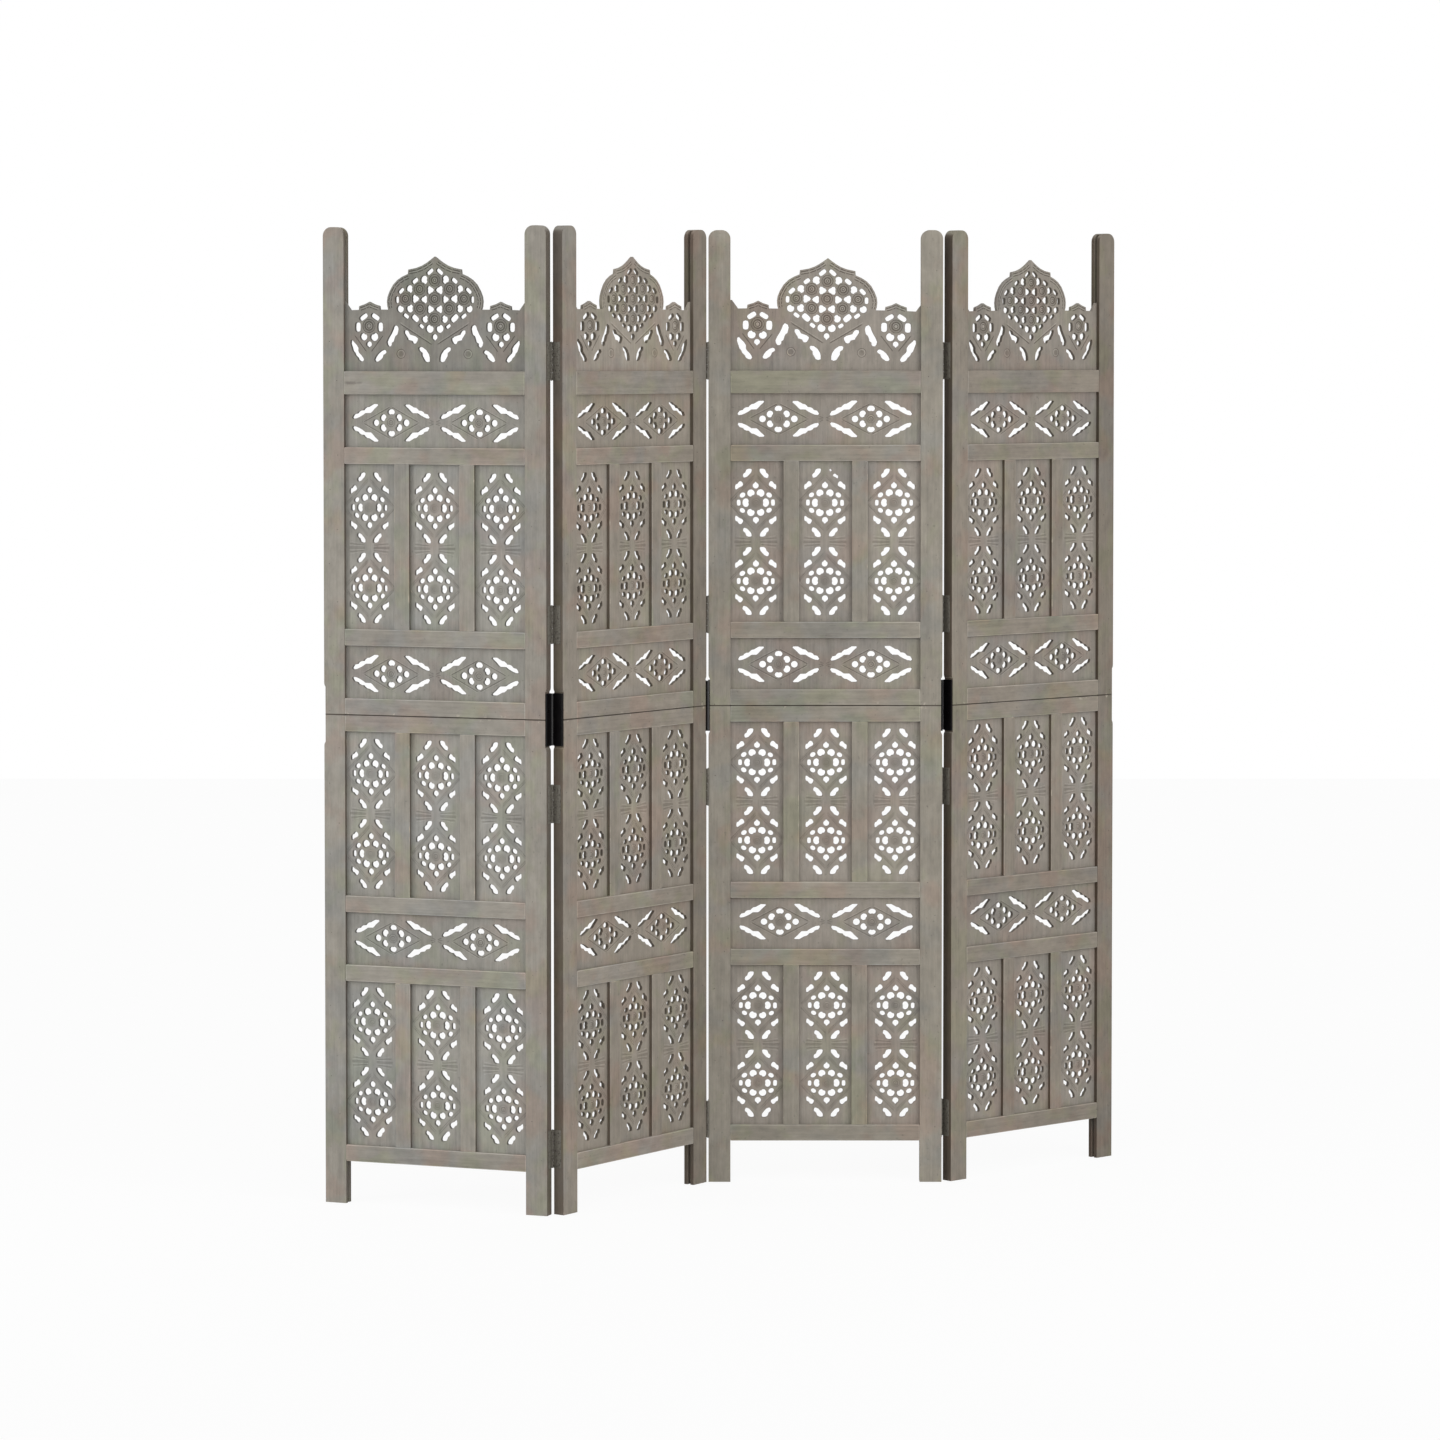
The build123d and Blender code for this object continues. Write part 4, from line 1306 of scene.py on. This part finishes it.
for number in PANEL_HEADINGS:
    stand, seed = panel_frame(number), number * 100
    columns, bands, crest = bmesh.new(), bmesh.new(), bmesh.new()
    for row, level in enumerate(COLUMN_LEVELS):
        for place, across in enumerate(COLUMN_MIDDLES):
            broken = (number, place, row) == BROKEN_BOARD
            slip = Vector(ROW_SLIPS[number][row]) + Vector((place - 1, 0))
            board = column_board(seed + row * 10 + place, broken, slip)
            gather(columns, board, stand @ Matrix.Translation((across, MIDDLE_Y, level)))
    for row, level in enumerate(BAND_LEVELS):
        board = band_board(seed + BAND_SEED + row, BAND_SLIPS[number][row])
        gather(bands, board, stand @ Matrix.Translation((MIDDLE_X, MIDDLE_Y, level)))
    right, up = CREST_SLIPS[number]
    base = Matrix.Translation((MIDDLE_X + right, MIDDLE_Y, CREST_BASE + up))
    lean = Matrix.Rotation(math.radians(-CREST_LEANS[number]), 4, "Y")
    gather(crest, crest_board(seed + CREST_SEED), stand @ base @ lean)
    made = {"column_jalis": columns, "band_jalis": bands, "crest_jali": crest}
    for kind, bm in made.items():
        print(f"panel {number}: {kind} with {len(bm.faces)} faces")
        finishes, body = jali_wood[number, kind], f"panel_{number}"
        new_piece(f"carved_{kind}_{number}", bm, finishes, body, [f"{body}_{kind}"])

# %% [markdown]
# ## Hinges
#
# A butt hinge is two leaves of folded iron whose knuckles take turns along one pin. The CAD model
# has three knuckles, which is enough to check that they clear each other. Here there are five round
# ones, with the leaf's corners eased and three screws in it. A knuckle is spun: its section goes
# once round the pin. The hinge is made with the pin at the origin and the leaf behind the left-hand
# panel's edge, and is mirrored for the other leaf, or for a pin at the front.

# %% Hinge parts
HINGE_HEIGHT = 64.0
HINGE_CENTRES = (110.0, 688.0, 987.0, 1425.0)
LEAF_THICKNESS = 0.8
LEAF_WIDTH = 15.0
KNUCKLE_RADIUS = 2.2
KNUCKLE_COUNT = 5
PIN_RADIUS = 0.9
PLAY = 0.2
SCREW_RADIUS = 2.4
SCREW_PROUD = 0.12
SCREW_HEIGHTS = (0.16, 0.5, 0.84)


def spun(bm, profile, steps, closed):
    """Spins a section, given as (radius, height) points, once round Z."""
    verts = [bm.verts.new((radius, 0, height)) for radius, height in profile]
    pairs = list(zip(verts, verts[1:])) + ([(verts[-1], verts[0])] if closed else [])
    geom = verts + [bm.edges.new(pair) for pair in pairs]
    full_turn = {"cent": (0, 0, 0), "axis": (0, 0, 1), "angle": TAU, "use_merge": True}
    bmesh.ops.spin(bm, geom=geom, steps=steps, **full_turn)
    bmesh.ops.remove_doubles(bm, verts=bm.verts, dist=0.001)
    bmesh.ops.recalc_face_normals(bm, faces=bm.faces)


def knuckle(low, high):
    """A short tube round the pin, with eased rims."""
    bm = bmesh.new()
    inner, outer, soft = PIN_RADIUS + 0.1, KNUCKLE_RADIUS, 0.3
    section = [(inner, low), (outer - soft, low), (outer, low + soft)]
    section += [(outer, high - soft), (outer - soft, high), (inner, high)]
    spun(bm, section, 18, closed=True)
    return bm


def screw_head(radius, proud):
    """A low round head with its middle at the origin, facing up."""
    bm = bmesh.new()
    section = [(0, -0.4), (radius, -0.4), (radius, proud * 0.4), (radius * 0.75, proud), (0, proud)]
    spun(bm, section, 12, closed=False)
    return bm


def block(low, high, soft):
    """A block between two corners with eased edges."""
    bm = bmesh.new()
    size = Vector(high) - Vector(low)
    middle = (Vector(high) + Vector(low)) / 2
    matrix = Matrix.Translation(middle) @ Matrix.Diagonal((*size, 1))
    bmesh.ops.create_cube(bm, size=1.0, matrix=matrix)
    eased = {"offset": soft, "segments": 2, "profile": 0.5, "affect": "EDGES", "material": -1}
    bmesh.ops.bevel(bm, geom=bm.edges[:], **eased)
    return bm


def hinge_leaf(first):
    """A leaf with every second knuckle, counted up from the first one given."""
    whole = bmesh.new()
    near = -PIN_OFFSET
    x0 = -PANEL_GAP / 2
    x1 = x0 + LEAF_THICKNESS
    gather(whole, block((x0, near - LEAF_WIDTH, 0), (x1, near, HINGE_HEIGHT), 0.2))
    pitch = HINGE_HEIGHT / KNUCKLE_COUNT
    for index in range(first, KNUCKLE_COUNT, 2):
        low, high = index * pitch + PLAY, (index + 1) * pitch - PLAY
        gather(whole, knuckle(low, high))
        gather(whole, block((x0, near - 0.2, low), (x1, -1.0, high), 0.12))
    facing = Matrix.Rotation(math.radians(90), 4, "Y")
    for height in SCREW_HEIGHTS:
        place = Matrix.Translation((x1, near - LEAF_WIDTH / 2, height * HINGE_HEIGHT))
        gather(whole, screw_head(SCREW_RADIUS, SCREW_PROUD), place @ facing)
    return whole


def hinge_pin():
    """The pin with a low dome at each end."""
    bm = bmesh.new()
    r, top = PIN_RADIUS, HINGE_HEIGHT
    section = [(0, -0.7), (r * 0.8, -0.5), (r * 1.25, 0), (r, 0.1), (r, top - 0.1)]
    section += [(r * 1.25, top), (r * 0.8, top + 0.5), (0, top + 0.7)]
    spun(bm, section, 14, closed=False)
    return bm


for first in (0, 1):
    trial = hinge_leaf(first)
    print(f"a hinge leaf has {len(trial.faces)} faces")
    trial.free()

# %% [markdown]
# ## Hanging the hinges
#
# Four hinges serve each joint. The left leaves and the pins move with the left-hand panel, and
# the right leaves with the other, so each set is one object that rides on its own body. A left
# leaf sits on its panel's right edge, and a right leaf on its panel's left edge.

# %% Hinges in place
JOINTS = [(1, 2, "back"), (2, 3, "front"), (3, 4, "back")]
HINGE_PARTS = [
    ("leaves_left", "left_leaves", lambda: hinge_leaf(0), "right", painted_hinge, "hinge_steel"),
    ("leaves_right", "right_leaves", lambda: hinge_leaf(1), "left", painted_hinge, "hinge_steel"),
    ("round_pins", "pins", hinge_pin, "right", hinge_pin_iron, "pin_steel"),
]


def hinge_set(make, number, edge, face):
    """The same hinge part at the four heights of a joint, on one panel's edge."""
    whole = bmesh.new()
    mirror = Matrix.Diagonal((-1 if edge == "left" else 1, -1 if face == "front" else 1, 1, 1))
    for centre in HINGE_CENTRES:
        foot = Vector((0, 0, centre - HINGE_HEIGHT / 2))
        place = Matrix.Translation(pin_place(edge, face) + foot)
        gather(whole, make(), panel_frame(number) @ place @ mirror)
    bmesh.ops.recalc_face_normals(whole, faces=whole.faces)
    return whole


for left, right, face in JOINTS:
    pair = f"hinges_{left}_{right}"
    for name, node, make, edge, iron, slot in HINGE_PARTS:
        number = left if edge == "right" else right
        whole = hinge_set(make, number, edge, face)
        new_piece(f"{pair}_{name}", whole, [iron], f"panel_{number}", [f"{pair}_{node}"])
    print(f"hinges between panels {left} and {right}, with their pins at the {face}")

# %% [markdown]
# ## Barrels of the joining plates
#
# At the split, the black joining plates of two neighbours meet in a thin black barrel round the pin
# line, which closes the gap between them and shows a bright streak. It is spun like the knuckles,
# and is thin enough to turn between the plates.

# %% Plate barrels
BARREL_RADIUS = 3.0
BARREL_HEIGHT = 87.0
BARREL_RIM = 0.4


def plate_barrel():
    """A tube with rounded rims, standing on the origin."""
    bm = bmesh.new()
    r, tall, soft = BARREL_RADIUS, BARREL_HEIGHT, BARREL_RIM
    section = [(0, 0), (r - soft, 0), (r, soft), (r, tall - soft), (r - soft, tall), (0, tall)]
    spun(bm, section, 18, closed=False)
    return bm


for left, right, face in JOINTS:
    foot = Vector((0, 0, SPLIT_HEIGHT - BARREL_HEIGHT / 2))
    place = Matrix.Translation(pin_place("right", face) + foot)
    whole = bmesh.new()
    gather(whole, plate_barrel(), panel_frame(left) @ place)
    name, body = f"plate_barrel_{left}_{right}", f"panel_{left}"
    new_piece(name, whole, [black_barrel], body)
print("three barrels stand between the joining plates")

# %% [markdown]
# ## Nails
#
# Small nails hold the posts to the rails and to the jalis. Their dark heads run down each post in
# two staggered rows, on the front and on the back. A head is a low cone with its base in the wood.

# %% Nails in the posts
NAIL_LEVELS = (92.0, 1600)
NAIL_STEP = 62.0
NAIL_OFFSETS = (11.0, 26.0)
NAIL_SLIPS = (1.5, 5)
NAIL_RADII = (0.7, 1.0)
NAIL_DEPTH = 0.5
NAIL_SIDES = 8


def nail_places(hand):
    """Where nails are in a panel's posts, from its lower left corner."""
    places = []
    aside, along = NAIL_SLIPS
    for post in ("left", "right"):
        height, top = NAIL_LEVELS
        row = 0
        while height < top:
            inwards = NAIL_OFFSETS[row % 2] + hand.uniform(-aside, aside)
            x = inwards if post == "left" else PANEL_WIDTH - inwards
            places.append((x, height + hand.uniform(-along, along)))
            height += NAIL_STEP
            row += 1
    return places


def nail_head(radius):
    """A low cone."""
    bm = bmesh.new()
    cone = {"segments": NAIL_SIDES, "radius1": radius, "radius2": radius * 0.6}
    bmesh.ops.create_cone(bm, cap_ends=True, depth=NAIL_DEPTH, **cone)
    return bm


for number in PANEL_HEADINGS:
    hand = random.Random(number)
    whole = bmesh.new()
    for y, turn in ((0.0, 90), (FRAME_THICKNESS, -90)):
        for x, z in nail_places(hand):
            place = Matrix.Translation((x, y, z)) @ Matrix.Rotation(math.radians(turn), 4, "X")
            gather(whole, nail_head(hand.uniform(*NAIL_RADII)), panel_frame(number) @ place)
    print(f"panel {number}: {len(whole.faces) // (NAIL_SIDES + 2)} nails")
    new_piece(f"nails_{number}", whole, [nail_iron], f"panel_{number}")

# %% [markdown]
# ## Floor and daylight
#
# The screen stands on a pale floor in a white room. The world gives an even light from all round,
# which is dimmer than the white that the camera sees, and Light Path tells the two apart. To the
# camera, the floor is mostly its own white, so it stays pale, but it still takes a soft shadow.

# %% Floor and world
AMBIENT = 0.44
FLOOR_REACH = 8.0
FLOOR_GREY = 0.8
FLOOR_GLOW = 0.93
WHITE = (1, 1, 1, 1)


def seen_by_eye(tree):
    """One for what the camera sees, directly, in gloss or through glass, and else nought."""
    path = add(tree, "ShaderNodeLightPath").outputs
    seen = maths(tree, "MAXIMUM", path["Is Camera Ray"], path["Is Glossy Ray"])
    return maths(tree, "MAXIMUM", seen, path["Is Transmission Ray"])


floor_bm = bmesh.new()
bmesh.ops.create_grid(floor_bm, x_segments=1, y_segments=1, size=FLOOR_REACH)
floor_mesh = bpy.data.meshes.new("floor")
floor_bm.to_mesh(floor_mesh)
floor_bm.free()
floor = bpy.data.objects.new("floor", floor_mesh)
bpy.context.scene.collection.objects.link(floor)

pale = bpy.data.materials.new("pale_floor")
pale.use_nodes = True
tree = pale.node_tree
tree.nodes.remove(tree.nodes["Principled BSDF"])
flat = add(tree, "ShaderNodeBsdfDiffuse", None, Color=(FLOOR_GREY, FLOOR_GREY, FLOOR_GREY, 1))
glow = add(tree, "ShaderNodeEmission", None, Color=WHITE, Strength=1.0)
share = maths(tree, "MULTIPLY", seen_by_eye(tree), FLOOR_GLOW)
both = add(tree, "ShaderNodeMixShader", None, _0=share, _1=flat.outputs[0], _2=glow.outputs[0])
tree.links.new(both.outputs[0], tree.nodes["Material Output"].inputs["Surface"])
floor_mesh.materials.append(pale)

world = bpy.data.worlds.new("daylight")
bpy.context.scene.world = world
world.use_nodes = True
tree = world.node_tree
seen = seen_by_eye(tree)
level = add(tree, "ShaderNodeMapRange", None, Value=seen, To_Min=AMBIENT, To_Max=1.0)
sky = tree.nodes["Background"].inputs
sky["Color"].default_value = WHITE
tree.links.new(level.outputs[0], sky["Strength"])
print(f"a pale floor, {2 * FLOOR_REACH} m wide, under an even light of {AMBIENT}")

# %% [markdown]
# ## Lamps
#
# Five wide, soft suns add a little shape: one overhead, which picks out the upper edges of the
# rails, one from each side, and one each from the front and the back. A sun is written as its
# strength, how far it is to the side, how high it is, and how wide, in degrees. A narrow softbox
# stands at each side and draws the crisp shadows at the sides of the openings. It is written as its
# place, what it is aimed at, its width and its power.

# %% Lamps
SUNS = {
    "overhead": (0.62, -10.0, 52.0, 70.0),
    "left_window": (0.56, -52.0, 18.0, 40.0),
    "right_window": (0.45, 62.0, 15.0, 50.0),
    "front_fill": (0.36, 0.0, 12.0, 60.0),
    "back_fill": (0.6, 180.0, 24.0, 70.0),
}
SOFTBOXES = {
    "right_softbox": ((1.6, -1.4, 1.3), (0.15, 0.0, 0.9), 0.26, 9.0),
    "left_softbox": ((-2.6, -1.05, 1.2), (-0.45, -0.2, 0.9), 0.26, 11.0),
}
SOFTBOX_HEIGHT = 1.3

for name, (strength, side, height, width) in SUNS.items():
    lamp = bpy.data.objects.new(name, bpy.data.lights.new(name, "SUN"))
    lamp.data.energy = strength
    lamp.data.angle = math.radians(width)
    lamp.rotation_euler = (math.radians(90 - height), 0, math.radians(side))
    bpy.context.scene.collection.objects.link(lamp)

for name, (place, aim, width, power) in SOFTBOXES.items():
    softbox = bpy.data.objects.new(name, bpy.data.lights.new(name, "AREA"))
    softbox.data.shape = "RECTANGLE"
    softbox.data.size = width
    softbox.data.size_y = SOFTBOX_HEIGHT
    softbox.data.energy = power
    softbox.location = place
    softbox.rotation_euler = (Vector(aim) - Vector(place)).to_track_quat("-Z", "Y").to_euler()
    bpy.context.scene.collection.objects.link(softbox)
print(f"{len(SUNS)} wide suns and {len(SOFTBOXES)} softboxes are set")
